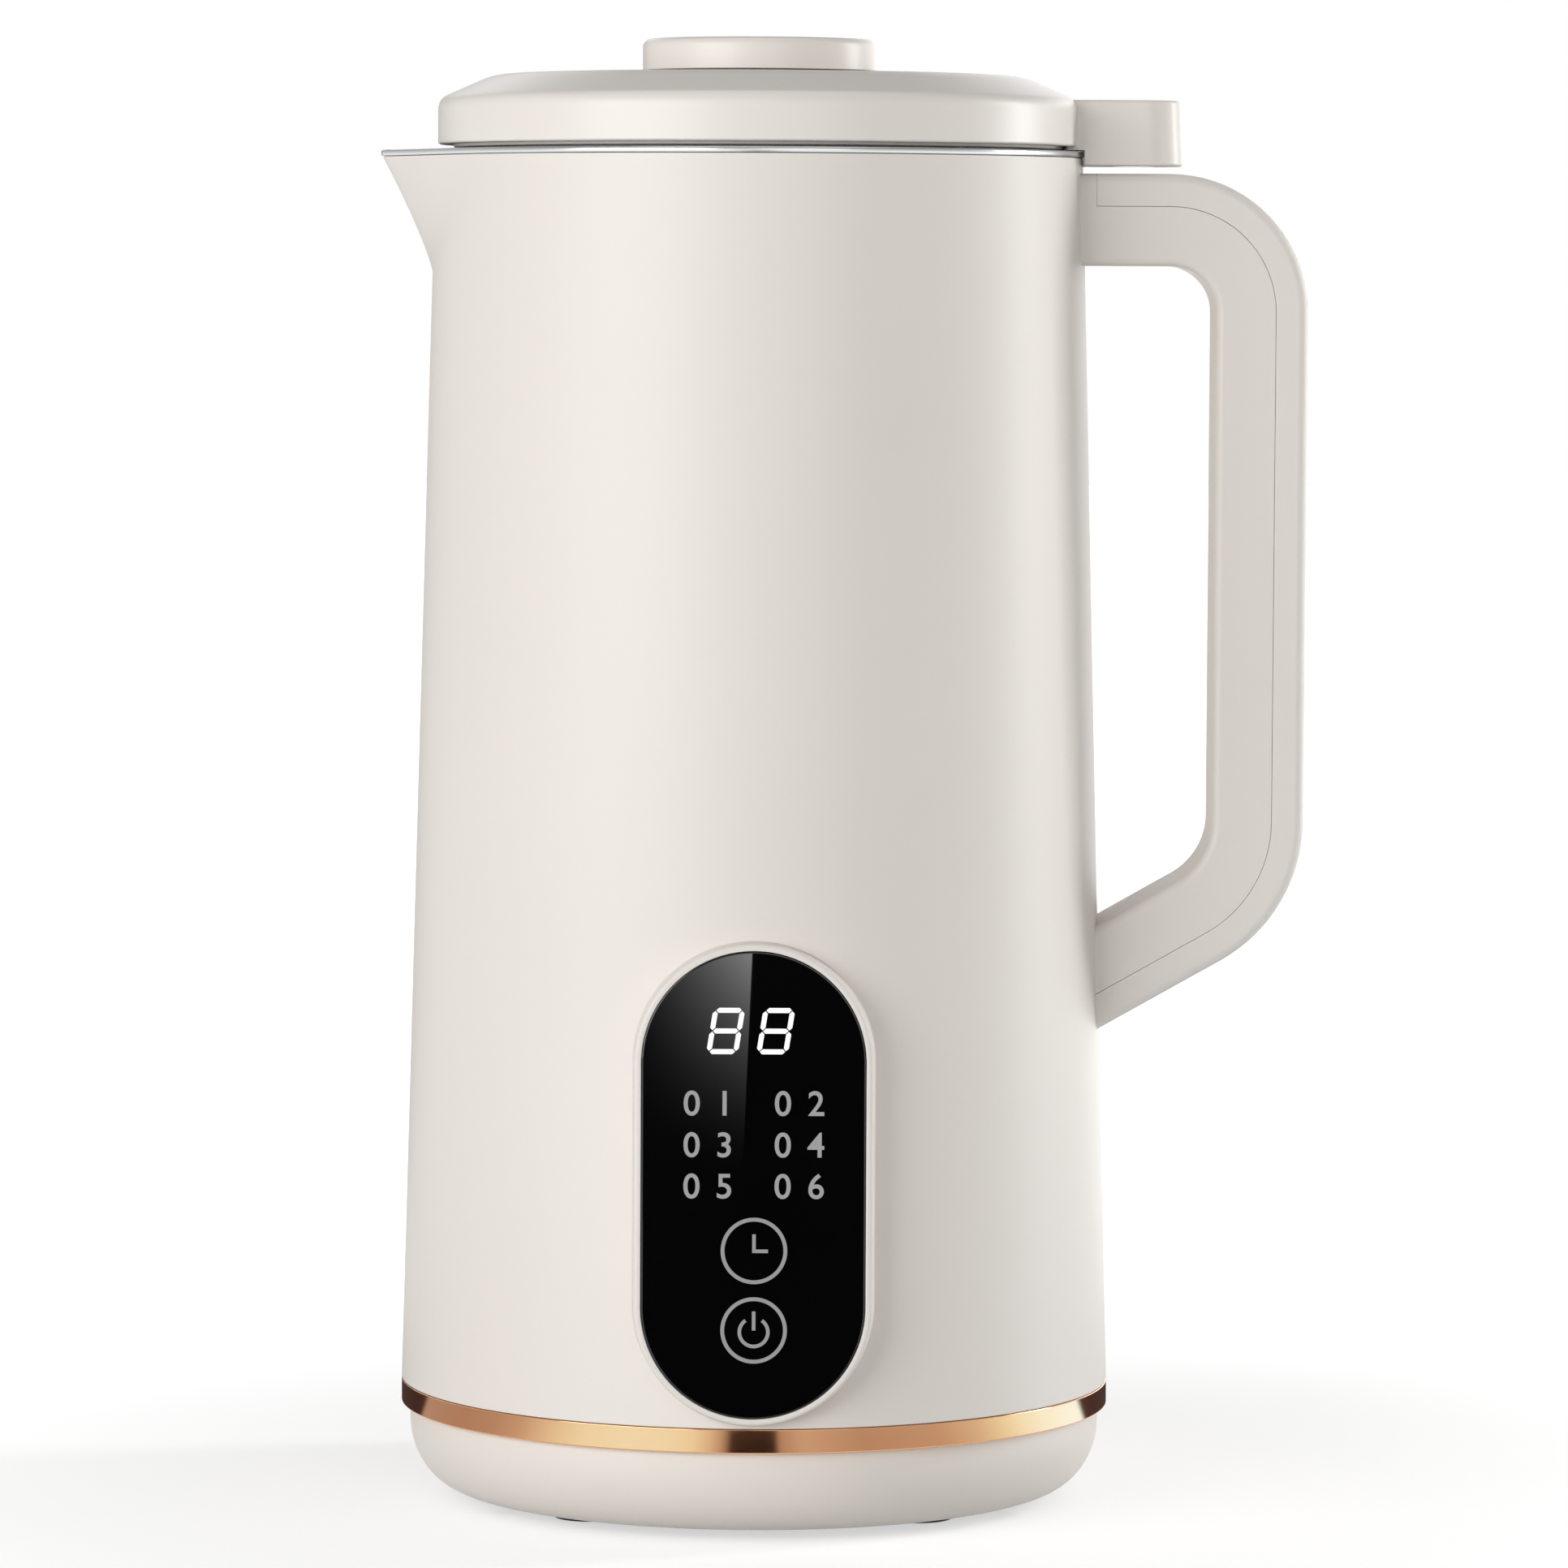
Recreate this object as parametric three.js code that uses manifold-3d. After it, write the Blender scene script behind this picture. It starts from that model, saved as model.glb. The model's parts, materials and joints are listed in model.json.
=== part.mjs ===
// A soy milk maker: a steel pot with a pouring beak inside a tapered plastic jug, with a blade and a
// motor under it, a touch panel in front, a strap handle at the side and a lid that lifts straight off.
// Millimetres, +Z up. The part stands on z = 0 with its box centred on the Z axis.
import * as THREE from 'three';
import { mergeVertices } from 'three/addons/utils/BufferGeometryUtils.js';
import Module from 'manifold-3d';

const wasm = await Module();
wasm.setup();

// Clearances and cutting
const fit_gap = 0.3;
const running_gap = 0.15;
const overrun = 2;

// Facets round the large, middle and small turned pieces
const large_steps = 56;
const middle_steps = 24;
const small_steps = 12;
const arc_steps = 4;
const handle_arc_steps = 8;

// Feet
const foot_stand = 1.8;
const foot_radius = 6.5;
const foot_recess = 1;
const foot_inset = 20.65;
const foot_count = 4;

// Base cup
const base_inset = 1.55;
const base_height = 14.6;
const base_wall = 2.5;
const base_round_radial = 8.9;
const base_round_height = 11.3;
const base_round_power = 1.9;
const base_round_steps = 4;
const base_inner_round_steps = 1;
const spigot_height = 6.8;
const vent_width = 3;
const vent_inner_radius = 12;
const vent_outer_radius = 30;
const vent_count = 16;

// Screw wells of the base cup, and the posts over them
const base_screw_inset = 11.65;
const base_screw_angle = 30;
const base_screw_head_radius = 3.1;
const base_screw_radius = 1.8;
const screw_well_radius = 4.4;
const screw_well_head_depth = 12;
const post_radius = 4;
const post_height = 20;
const post_rib = 2.4;

// Trim ring
const trim_height = 3.8;
const trim_edge = 0.8;

// Outer shell
const shell_foot_radius = 62.2;
const shell_top_radius = 56.5;
const shell_height = 214.6;
const shell_wall = 2.4;
const shell_spigot_gap = 0.5;

// Pouring beak
const beak_overhang = 9.7;
const beak_height = 20;
const beak_nose = 4;
const beak_dip = 0.7;
const beak_flare_power = 1.15;
const beak_row_shares = [0, 0.05, 0.2, 0.45, 0.75, 1];
const pot_beak_row_shares = [0, 0.1, 0.4, 1];
const beak_crowding_share = 0.55;

// Pot
const pot_mouth_inset = 6.5;
const pot_taper = 3.5;
const pot_wall = 0.8;
const pot_corner = 9;
const pot_corner_steps = 2;
const pot_beak_gap = 0.6;
const rim_bead_height = 1.1;
const rim_bead_overhang = 0.25;
const rim_bead_width = 1.2;
const rim_flange = 0.8;
const rim_inner_round = 0.5;

// Heater under the pot
const heater_plate_margin = 4;
const heater_plate_thickness = 4;
const heater_plate_hole_gap = 2.5;
const heater_tube_circle = 27;
const heater_tube_radius = 2.8;
const heater_tube_opening = 50;
const heater_tube_steps = 18;
const heater_tube_sides = 8;
const heater_pin_radius = 1.6;
const heater_pin_length = 6;

// Thermostat and temperature probe on the heater plate
const sensor_angle = 140;
const sensor_gap = 1;
const probe_radius = 2.6;
const probe_height = 3.8;
const probe_tail_radius = 1.3;
const thermostat_radius = 3.8;
const thermostat_height = 3.8;
const sensor_tail = 2;
const thermostat_tag_width = 2;
const thermostat_tag_thickness = 0.8;

// Blade seat in the floor of the pot
const seat_radius = 8.7;
const seat_flange_radius = 13;
const seat_flange_height = 2;
const seat_neck_radius = 6.8;
const seat_neck_height = 5;
const seat_bore_radius = 5.6;
const seat_lip_height = 1;
const seat_drop = 8;
const seat_nut_wall = 3.8;
const seat_nut_height = 4.6;
const bush_length = 9.6;
const seal_height = 2.6;

// Shaft, blade and blade nut
const shaft_radius = 4;
const blade_shaft_radius = 3.2;
const blade_stub_radius = 2.5;
const blade_clear_height = 1.2;
const blade_thickness = 1.2;
const blade_reach = 26;
const blade_hub_radius = 6.4;
const blade_root_width = 9;
const blade_tip_width = 4.2;
const blade_bend_start = 8;
const blade_rise_angle = 28;
const blade_fall_angle = 14;
const blade_nut_radius = 4.6;
const blade_nut_height = 4;
const blade_nut_dome = 2.4;

// Motor
const motor_floor_gap = 5;
const fan_radius = 29;
const fan_disc = 1.6;
const fan_height = 9;
const fan_hub_radius = 8;
const fan_blade = 1.6;
const fan_blade_count = 9;
const fan_clearance = 2.6;
const shield_thickness = 3;
const shield_width = 60;
const shield_depth = 54;
const shield_corner = 7;
const bearing_cup_radius = 10.4;
const bearing_radius = 8;
const bearing_height = 5;
const bearing_lip = 1;
const bearing_lip_radius = 5.5;
const commutator_radius = 11;
const commutator_margin = 2;
const commutator_bars = 12;
const commutator_slot = 0.8;
const commutator_gap = 4;
const brush_width = 5;
const brush_height = 6;
const brush_length = 13;
const brush_holder_wall = 1.6;
const brush_holder_length = 17;
const armature_radius = 17.4;
const armature_height = 26;
const armature_slots = 12;
const armature_slot_width = 2;
const armature_slot_depth = 5;
const winding_inset = 2.8;
const winding_height = 6;
const air_gap = 0.6;
const stator_width = 62;
const stator_depth = 54;
const stator_corner = 8;
const pole_width = 19;
const pole_shoe = 3;
const pole_tip_gap = 12.8;
const stator_side = 4;
const stator_yoke = 7;
const coil_thickness = 5.6;
const coil_corner = 4;
const motor_column_radius = 4;
const motor_bolt_gap = 5.2;
const motor_bolt_radius = 1.8;
const motor_bolt_head_radius = 3.4;
const motor_bolt_head_height = 2;
const shield_to_winding = 5;

// Spider that hangs the motor under the heater plate
const damper_radius = 5;
const damper_flange_radius = 6.8;
const damper_flange_height = 1.2;
const spider_thickness = 3;
const spider_hub_radius = 30.5;
const spider_hole_radius = 13.5;
const spider_arm_width = 10;
const spider_pillar_radius = 3.4;
const spider_pillar_gap = 7;
const spider_pillar_height = 7.4;
const spider_arm_count = 3;

// Power board and its relay
const board_thickness = 1.6;
const power_board_width = 34;
const power_board_height = 58;
const board_rib_thickness = 1.5;
const board_rib_height = 6;
const board_rib_length = 30;
const relay_size = new THREE.Vector3(9.6, 15, 18);
const relay_sideways = -9;
const relay_shell_gap = 4.6;
const relay_above_board_foot = 38;

// Touch panel
const glass_width = 37.8;
const glass_height = 78.8;
const glass_thickness = 1.6;
const glass_recess = 0.2;
const glass_gap = 0.2;
const glass_above_shell_foot = 2.6;
const bezel_rim = 0.9;
const bezel_stand = 3;
const bezel_edge = 0.7;
const bezel_neck_wall = 1.8;
const bezel_neck_inset = 2.8;
const bezel_ledge = 5;
const bezel_depth = 14;
const display_board_depth = 6.2;
const display_width_share = 0.42;
const display_height = 10;
const display_below_glass_top = 13.4;
const stadium_steps = 10;

// Power inlet at the back
const inlet_above_shell_foot = 21;
const inlet_flange_width = 30;
const inlet_flange_height = 23;
const inlet_flange_corner = 4;
const inlet_stand = 1.6;
const inlet_width = 26.5;
const inlet_height = 19.5;
const inlet_depth = 22;
const inlet_socket_width = 23;
const inlet_socket_height = 16;
const inlet_socket_depth = 16;
const inlet_socket_chamfer = 4;
const inlet_pin_width = 2;
const inlet_pin_height = 4;
const inlet_pin_tip_depth = 5.5;
const inlet_pin_tail = 6;
const inlet_pin_spacing = 7;
const inlet_pin_offset = 2;

// Handle
const handle_stand = 39.05;
const handle_top_below_rim = 3.8;
const handle_bar = 16;
const handle_width = 21.5;
const handle_upper_corner = 24;
const handle_lower_corner = 28;
const handle_lower_corner_height = 99.5;
const handle_lower_slope = 29.5;
const handle_edge = 1.8;
const handle_edge_steps = 2;
const handle_cover_thickness = 5.6;
const handle_collar_length = 2.3;
const handle_seam = 0.25;
const handle_root_depth = 6.5;
const handle_screw_radius = 1.8;
const handle_screw_head_radius = 3.2;
const handle_screw_head_height = 1.8;
const handle_screw_length = 11;
const handle_upper_screw_height = 3.2;
const handle_screw_cover_gap = 1.1;
const lid_switch_size = new THREE.Vector3(9.5, 5.4, 2.4);
const lid_switch_sink = 1.2;
const lid_switch_stand = 5.5;

// Lid
const lid_rim_gap = 0.84;
const lid_inset = 0.4;
const lid_wall = 2.2;
const lid_band_height = 6;
const lid_shoulder_inset = 1.7;
const lid_shoulder_height = 8.6;
const lid_crown_inset = 9.6;
const lid_crown_height = 12.1;
const lid_crown_bend = 1.8;
const lid_centre_height = 12.7;
const lid_edge = 0.5;
const lid_hole_radius = 18.2;
const tab_overhang = 17.35;
const tab_width = 20.5;
const tab_top_height = 8.1;
const tab_drop = 3.3;
const tab_corner = 7;
const tab_edge = 0.6;
const tab_rim_clearance = 0.9;
const magnet_radius = 4;
const magnet_height = 3;
const magnet_inset = 7.95;
const liner_gap = 1.8;
const liner_wall = 1.8;
const liner_drop = 11;
const liner_corner = 1.4;
const liner_flange_gap = 0.5;
const liner_flange_height = 1.6;
const liner_rib = 0.7;
const liner_rib_height = 0.8;
const gasket_height = 4;
const gasket_start = 2.6;
const gasket_wall_gap = 0.6;

// Vent cap in the middle of the lid
const cap_radius = 20.4;
const cap_height = 5.5;
const cap_edge = 1.4;
const cap_wall = 2.2;
const cap_neck_gap = 1.6;
const cap_neck_wall = 1.8;
const cap_neck_length = 12;
const cap_slot_width = 4;
const cap_slot_height = 5;
const cap_slot_count = 4;
const cap_seal_height = 2.4;
const cap_seal_groove = 0.5;
const cap_seal_above_end = 1.6;

// Heights of the stack, from the surface that the part stands on
const base_bottom = foot_stand;
const base_floor = base_bottom + base_wall;
const trim_bottom = base_bottom + base_height;
const shell_bottom = trim_bottom + trim_height;
const shell_top = shell_bottom + shell_height;
const rim_bottom = shell_top + fit_gap;
const rim_top = rim_bottom + rim_bead_height;
const beak_start = shell_top - beak_height;

const motor_bottom = base_floor + motor_floor_gap;
const fan_top = motor_bottom + fan_height;
const lower_shield_bottom = fan_top + fan_clearance;
const lower_shield_top = lower_shield_bottom + shield_thickness;
const commutator_bottom = lower_shield_top + commutator_gap;
const commutator_top = commutator_bottom + brush_height + 2 * commutator_margin;
const armature_bottom = commutator_top + fit_gap + winding_height;
const armature_top = armature_bottom + armature_height;
const upper_shield_bottom = armature_top + winding_height + shield_to_winding;
const upper_shield_top = upper_shield_bottom + shield_thickness;
const spider_bottom = upper_shield_top + damper_flange_height + fit_gap;
const spider_top = spider_bottom + spider_thickness;
const heater_bottom = spider_top + spider_pillar_height;
const pot_underside = heater_bottom + heater_plate_thickness;
const pot_floor = pot_underside + pot_wall;

const seat_bottom = pot_floor - seat_drop;
const seat_top = pot_floor + seat_flange_height + seat_neck_height;
const blade_bottom = seat_top + blade_clear_height;
const blade_top = blade_bottom + blade_thickness;

const lid_bottom = rim_top + lid_rim_gap;
const cap_bottom = lid_bottom + lid_centre_height + fit_gap;
const cap_top = cap_bottom + cap_height;

// Distances from the axis, each from the wall that it goes with
const shell_lean = Math.atan((shell_foot_radius - shell_top_radius) / shell_height);
const base_radius = shell_foot_radius - base_inset;
const foot_circle = base_radius - foot_inset;
const base_screw_circle = base_radius - base_screw_inset;
const spigot_narrowing = (spigot_height - trim_height) * Math.tan(shell_lean);
const spigot_radius = shell_foot_radius - spigot_narrowing - shell_wall - shell_spigot_gap;
const relay_reach = shell_foot_radius - shell_wall - relay_shell_gap;
const power_board_offset = relay_reach - relay_size.x - board_thickness;
const beak_reach = shell_top_radius + beak_overhang;
const pot_mouth_radius = shell_top_radius - pot_mouth_inset;
const pot_foot_radius = pot_mouth_radius - pot_taper;
const pot_hole_radius = seat_radius + fit_gap;
const seat_nut_radius = seat_radius + seat_nut_wall;
const heater_plate_hole = seat_nut_radius + heater_plate_hole_gap;
const sensor_circle = heater_tube_circle - heater_tube_radius - thermostat_radius - sensor_gap;
const spider_pillar_circle = heater_tube_circle + spider_pillar_gap;
const heater_plate_radius = spider_pillar_circle + heater_plate_margin;
const handle_reach = shell_top_radius + handle_stand;
const handle_cover_start = shell_top_radius + handle_collar_length;
const handle_root = shell_top_radius - handle_root_depth;
const lid_switch_start = shell_top_radius + lid_switch_stand;
const lid_radius = shell_top_radius - lid_inset;
const lid_shoulder_radius = lid_radius - lid_shoulder_inset;
const lid_crown_radius = lid_radius - lid_crown_inset;
const tab_reach = lid_radius + tab_overhang;
const magnet_circle = tab_reach - magnet_inset;
const liner_radius = pot_mouth_radius - liner_gap;
const liner_flange_radius = lid_radius - lid_wall - liner_flange_gap;
const cap_neck_radius = lid_hole_radius - cap_neck_gap;
const winding_radius = armature_radius - winding_inset;
const motor_bolt_circle = armature_radius + motor_bolt_gap;
const coil_window_width = stator_width - 2 * stator_side;
const coil_window_depth = stator_depth - 2 * stator_yoke;

const handle_top = rim_top - handle_top_below_rim;

const to_radians = THREE.MathUtils.degToRad;
const { lerp } = THREE.MathUtils;

// Solids

/** The closed solid of a geometry whose triangles share their corners. */
function solid_of(geometry) {
  const bare = geometry.clone();
  bare.deleteAttribute('normal');
  bare.deleteAttribute('uv');
  const merged = mergeVertices(bare, 1e-4);
  const triangles = [];
  const corners = merged.index.array;
  for (let i = 0; i < corners.length; i += 3) {
    const [a, b, c] = [corners[i], corners[i + 1], corners[i + 2]];
    if (a !== b && b !== c && c !== a) triangles.push(a, b, c);
  }
  return new wasm.Manifold(new wasm.Mesh({
    numProp: 3,
    vertProperties: new Float32Array(merged.attributes.position.array),
    triVerts: new Uint32Array(triangles),
  }));
}

function geometry_of(solid) {
  const mesh = solid.getMesh();
  const geometry = new THREE.BufferGeometry();
  geometry.setAttribute('position', new THREE.BufferAttribute(mesh.vertProperties, 3));
  geometry.setIndex(new THREE.BufferAttribute(mesh.triVerts, 1));
  geometry.computeVertexNormals();
  return geometry;
}

function join(first, ...others) {
  return geometry_of(others.reduce((whole, other) => whole.add(solid_of(other)), solid_of(first)));
}

function cut(first, ...tools) {
  return geometry_of(tools.reduce((whole, tool) => whole.subtract(solid_of(tool)), solid_of(first)));
}

function common(first, second) {
  return geometry_of(solid_of(first).intersect(solid_of(second)));
}

/** Turns a closed outline of [radius, height] pairs, listed anticlockwise, about the Z axis. */
function turned(outline, steps) {
  const closed = [...outline, outline[0]];
  const points = closed.map(([radius, height]) => new THREE.Vector2(radius, height));
  return new THREE.LatheGeometry(points, steps).rotateX(Math.PI / 2);
}

function rod(radius, bottom, top, steps) {
  return turned([[0, bottom], [radius, bottom], [radius, top], [0, top]], steps);
}

function tube(outer, inner, bottom, top, steps) {
  return turned([[inner, bottom], [outer, bottom], [outer, top], [inner, top]], steps);
}

/** A box from its middle in X and Y and its lower and upper height. */
function block(width, depth, bottom, top, x, y) {
  return new THREE.BoxGeometry(width, depth, top - bottom).translate(x, y, (bottom + top) / 2);
}

function prism(shape, bottom, top, round_steps = arc_steps) {
  const settings = { depth: top - bottom, bevelEnabled: false, curveSegments: round_steps };
  return new THREE.ExtrudeGeometry(shape, settings).translate(0, 0, bottom);
}

/** A prism whose two end faces have rounded edges, inside the same outline. */
function soft_prism(shape, bottom, top, edge, steps, round_steps = arc_steps) {
  const settings = {
    depth: top - bottom - 2 * edge,
    bevelThickness: edge,
    bevelSize: edge,
    bevelOffset: -edge,
    bevelSegments: steps,
    curveSegments: round_steps,
  };
  return new THREE.ExtrudeGeometry(shape, settings).translate(0, 0, bottom + edge);
}

/** Stands a prism of an X and Z outline upright, so that its length runs along Y. */
function upright(geometry) {
  return geometry.rotateX(Math.PI / 2);
}

/** Lays a turned piece along the X axis at a height. */
function along_x(geometry, height) {
  return geometry.rotateY(Math.PI / 2).translate(0, 0, height);
}

function rounded_rectangle(width, height, corner) {
  const shape = new THREE.Shape();
  const x = width / 2 - corner;
  const y = height / 2 - corner;
  shape.absarc(x, y, corner, 0, Math.PI / 2, false);
  shape.absarc(-x, y, corner, Math.PI / 2, Math.PI, false);
  shape.absarc(-x, -y, corner, Math.PI, 1.5 * Math.PI, false);
  shape.absarc(x, -y, corner, 1.5 * Math.PI, 2 * Math.PI, false);
  shape.closePath();
  return shape;
}

/** An upright outline with straight sides and a half circle at each end. */
function stadium(width, height) {
  const radius = width / 2;
  const rise = height / 2 - radius;
  const points = [];
  for (const [middle, start] of [[rise, 0], [-rise, Math.PI]]) {
    for (let step = 0; step <= stadium_steps; step += 1) {
      const angle = start + (Math.PI * step) / stadium_steps;
      points.push(new THREE.Vector2(radius * Math.cos(angle), middle + radius * Math.sin(angle)));
    }
  }
  return new THREE.Shape(points);
}

/** A closed skin over rings of points, with the last ring joined back to the first. */
function closed_loft(rings) {
  const count = rings[0].length;
  const index = [];
  rings.forEach((ring, row) => {
    const next_row = (row + 1) % rings.length;
    ring.forEach((_, i) => {
      const j = (i + 1) % count;
      const [a, b] = [row * count + i, row * count + j];
      const [c, d] = [next_row * count + j, next_row * count + i];
      index.push(a, b, c, a, c, d);
    });
  });
  const geometry = new THREE.BufferGeometry().setFromPoints(rings.flat());
  geometry.setIndex(index);
  return geometry;
}

/** Copies a shape to evenly spaced angles about the Z axis. */
function around(count, geometry, first_angle = 0) {
  return Array.from({ length: count }, (_, i) => (
    geometry.clone().rotateZ(first_angle + (2 * Math.PI * i) / count)
  ));
}

// The spouted outline, which the shell and the pot share

/** Angles from the beak, closest together at its nose. */
const outline_angles = Array.from({ length: large_steps }, (_, i) => {
  const even = (2 * Math.PI * i) / large_steps;
  return even - beak_crowding_share * Math.sin(even);
});

/** The angle at which the beak's flat side leaves the round wall. */
function beak_half_angle(radius, reach, nose) {
  const nose_centre = reach - nose;
  return nose_centre > radius - nose ? Math.acos((radius - nose) / nose_centre) : 0;
}

/** How far the outline lies from the axis, for a round wall with a beak, moved inwards by inset. */
function spouted_radius(angle, { radius, reach, nose, inset }) {
  const away = Math.min(angle, 2 * Math.PI - angle);
  const half_angle = beak_half_angle(radius, reach, nose);
  if (away >= half_angle) return radius - inset;
  const nose_centre = reach - nose;
  const small_nose = Math.max(nose - inset, 0);
  const nose_side = Math.atan2(
    small_nose * Math.sin(half_angle),
    nose_centre + small_nose * Math.cos(half_angle),
  );
  if (small_nose > 0 && away < nose_side) {
    const across = nose_centre * Math.sin(away);
    return nose_centre * Math.cos(away) + Math.sqrt(small_nose ** 2 - across ** 2);
  }
  return (radius - inset) / Math.cos(half_angle - away);
}

const rim_half_angle = beak_half_angle(shell_top_radius, beak_reach, beak_nose);

/** One ring of the outline. The rim dips towards the nose by the share of its height in the beak. */
function spouted_ring(height, outline) {
  const beak_share = THREE.MathUtils.clamp((height - beak_start) / beak_height, 0, 1);
  return outline_angles.map((angle) => {
    const away = Math.min(angle, 2 * Math.PI - angle, rim_half_angle);
    const bow = (1 + Math.cos((Math.PI * away) / rim_half_angle)) / 2;
    const radius = spouted_radius(angle, outline);
    return new THREE.Vector3(
      -radius * Math.cos(angle),
      -radius * Math.sin(angle),
      height - beak_dip * beak_share * bow,
    );
  });
}

function shell_radius(height) {
  return lerp(shell_foot_radius, shell_top_radius, (height - shell_bottom) / shell_height);
}

/** The shell's outline at a height, moved inwards by inset. */
function shell_ring(height, inset) {
  const flare = THREE.MathUtils.clamp((height - beak_start) / beak_height, 0, 1) ** beak_flare_power;
  const radius = shell_radius(height);
  return spouted_ring(height, {
    radius,
    reach: lerp(radius, beak_reach, flare),
    nose: beak_nose,
    inset,
  });
}

function pot_radius(height) {
  const corner_top = pot_floor + pot_corner;
  return lerp(pot_foot_radius, pot_mouth_radius, (height - corner_top) / (rim_bottom - corner_top));
}

/** The pot's inner outline at a height, moved outwards by the sheet when asked. */
function pot_ring(height, outwards) {
  const flare = THREE.MathUtils.clamp((height - beak_start) / beak_height, 0, 1) ** beak_flare_power;
  const radius = pot_radius(height) + pot_wall;
  const rim_reach = beak_reach - shell_wall - pot_beak_gap;
  return spouted_ring(height, {
    radius,
    reach: lerp(radius, rim_reach, flare),
    nose: beak_nose - pot_wall,
    inset: pot_wall - outwards,
  });
}

/** A cone that follows the round part of the shell, grown by a gap, to scribe what sits against it. */
function shell_cone(gap) {
  const low = shell_bottom - shell_height;
  const high = shell_top + shell_height;
  return turned([
    [0, low], [shell_radius(low) + gap, low], [shell_radius(high) + gap, high], [0, high],
  ], large_steps);
}

// Places on the shell's wall

/** A frame on the shell: its Z axis points out of the wall, its Y axis up along it. */
function wall_frame(angle, height, stand) {
  const frame = new THREE.Group();
  const lean = new THREE.Group();
  frame.rotation.z = angle;
  lean.rotation.x = Math.PI / 2 - shell_lean;
  lean.position.set(0, -(shell_radius(height) + stand), height);
  frame.add(lean);
  frame.updateMatrixWorld(true);
  return { frame, lean, matrix: lean.matrixWorld.clone() };
}

const panel_height = shell_bottom + glass_above_shell_foot + glass_height / 2;
const inlet_height_above = shell_bottom + inlet_above_shell_foot;
const panel_place = wall_frame(0, panel_height, bezel_stand);
const inlet_place = wall_frame(Math.PI, inlet_height_above, inlet_stand);

function out_of(place, geometry) {
  return geometry.applyMatrix4(place.matrix);
}

function into(place, geometry) {
  return geometry.applyMatrix4(place.matrix.clone().invert());
}

// Finishes

function finish(colour, roughness, metalness) {
  return new THREE.MeshStandardMaterial({ color: colour, roughness, metalness });
}

const cream_plastic = () => finish('#e9e4dd', 0.45, 0);
const rose_gold = () => finish('#c98f68', 0.16, 1);
const pot_steel = () => finish('#b9babb', 0.28, 1);
const blade_steel = () => finish('#c6c8ca', 0.2, 1);
const plated_steel = () => finish('#a9acaf', 0.35, 1);
const black_glass = () => finish('#060607', 0.06, 0);
const black_plastic = () => finish('#1d1d1f', 0.55, 0);
const grey_plastic = () => finish('#8b8e90', 0.6, 0);
const liner_plastic = () => finish('#e5e3de', 0.5, 0);
const clear_silicone = () => finish('#dcdad4', 0.5, 0);
const black_rubber = () => finish('#2a2a2b', 0.85, 0);
const cast_aluminium = () => finish('#b4b7ba', 0.5, 1);
const lamination = () => finish('#6d7074', 0.45, 1);
const copper_wire = () => finish('#b5683a', 0.35, 1);
const commutator_copper = () => finish('#c07a4a', 0.3, 1);
const carbon = () => finish('#2b2b2e', 0.7, 0.1);
const bearing_steel = () => finish('#9a9ea3', 0.25, 1);
const sintered_bronze = () => finish('#a77b44', 0.45, 1);
const circuit_green = () => finish('#1e5a3a', 0.55, 0);
const relay_blue = () => finish('#2d4f7c', 0.5, 0);
const magnet_nickel = () => finish('#c3c4c4', 0.25, 1);
const nylon_fan = () => finish('#d8d6d0', 0.6, 0);

// Feet, base cup and trim ring

function foot() {
  return rod(foot_radius, 0, foot_stand + foot_recess, small_steps);
}

function foot_recess_tool() {
  return rod(foot_radius + fit_gap, base_bottom - overrun, base_bottom + foot_recess, small_steps);
}

/** Points of the round between the base's flat underside and its side, from below upwards. */
function base_round(inset, steps) {
  return Array.from({ length: steps + 1 }, (_, i) => {
    const angle = (Math.PI / 2) * (i / steps);
    const out = Math.sin(angle) ** (2 / base_round_power);
    const up = 1 - Math.cos(angle) ** (2 / base_round_power);
    return [
      base_radius - base_round_radial + out * (base_round_radial - inset),
      base_bottom + inset + up * (base_round_height - inset),
    ];
  });
}

function screw_places(circle) {
  const angle = to_radians(base_screw_angle);
  return [angle, Math.PI - angle, Math.PI + angle, -angle].map((turn) => (
    new THREE.Vector2(circle * Math.cos(turn), circle * Math.sin(turn))
  ));
}

const screw_well_top = shell_bottom + spigot_height - trim_height + fit_gap;

function base_vents() {
  const slot = block(
    vent_outer_radius - vent_inner_radius,
    vent_width,
    base_bottom - overrun,
    base_floor + overrun,
    (vent_outer_radius + vent_inner_radius) / 2,
    0,
  );
  return around(vent_count, slot);
}

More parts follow.
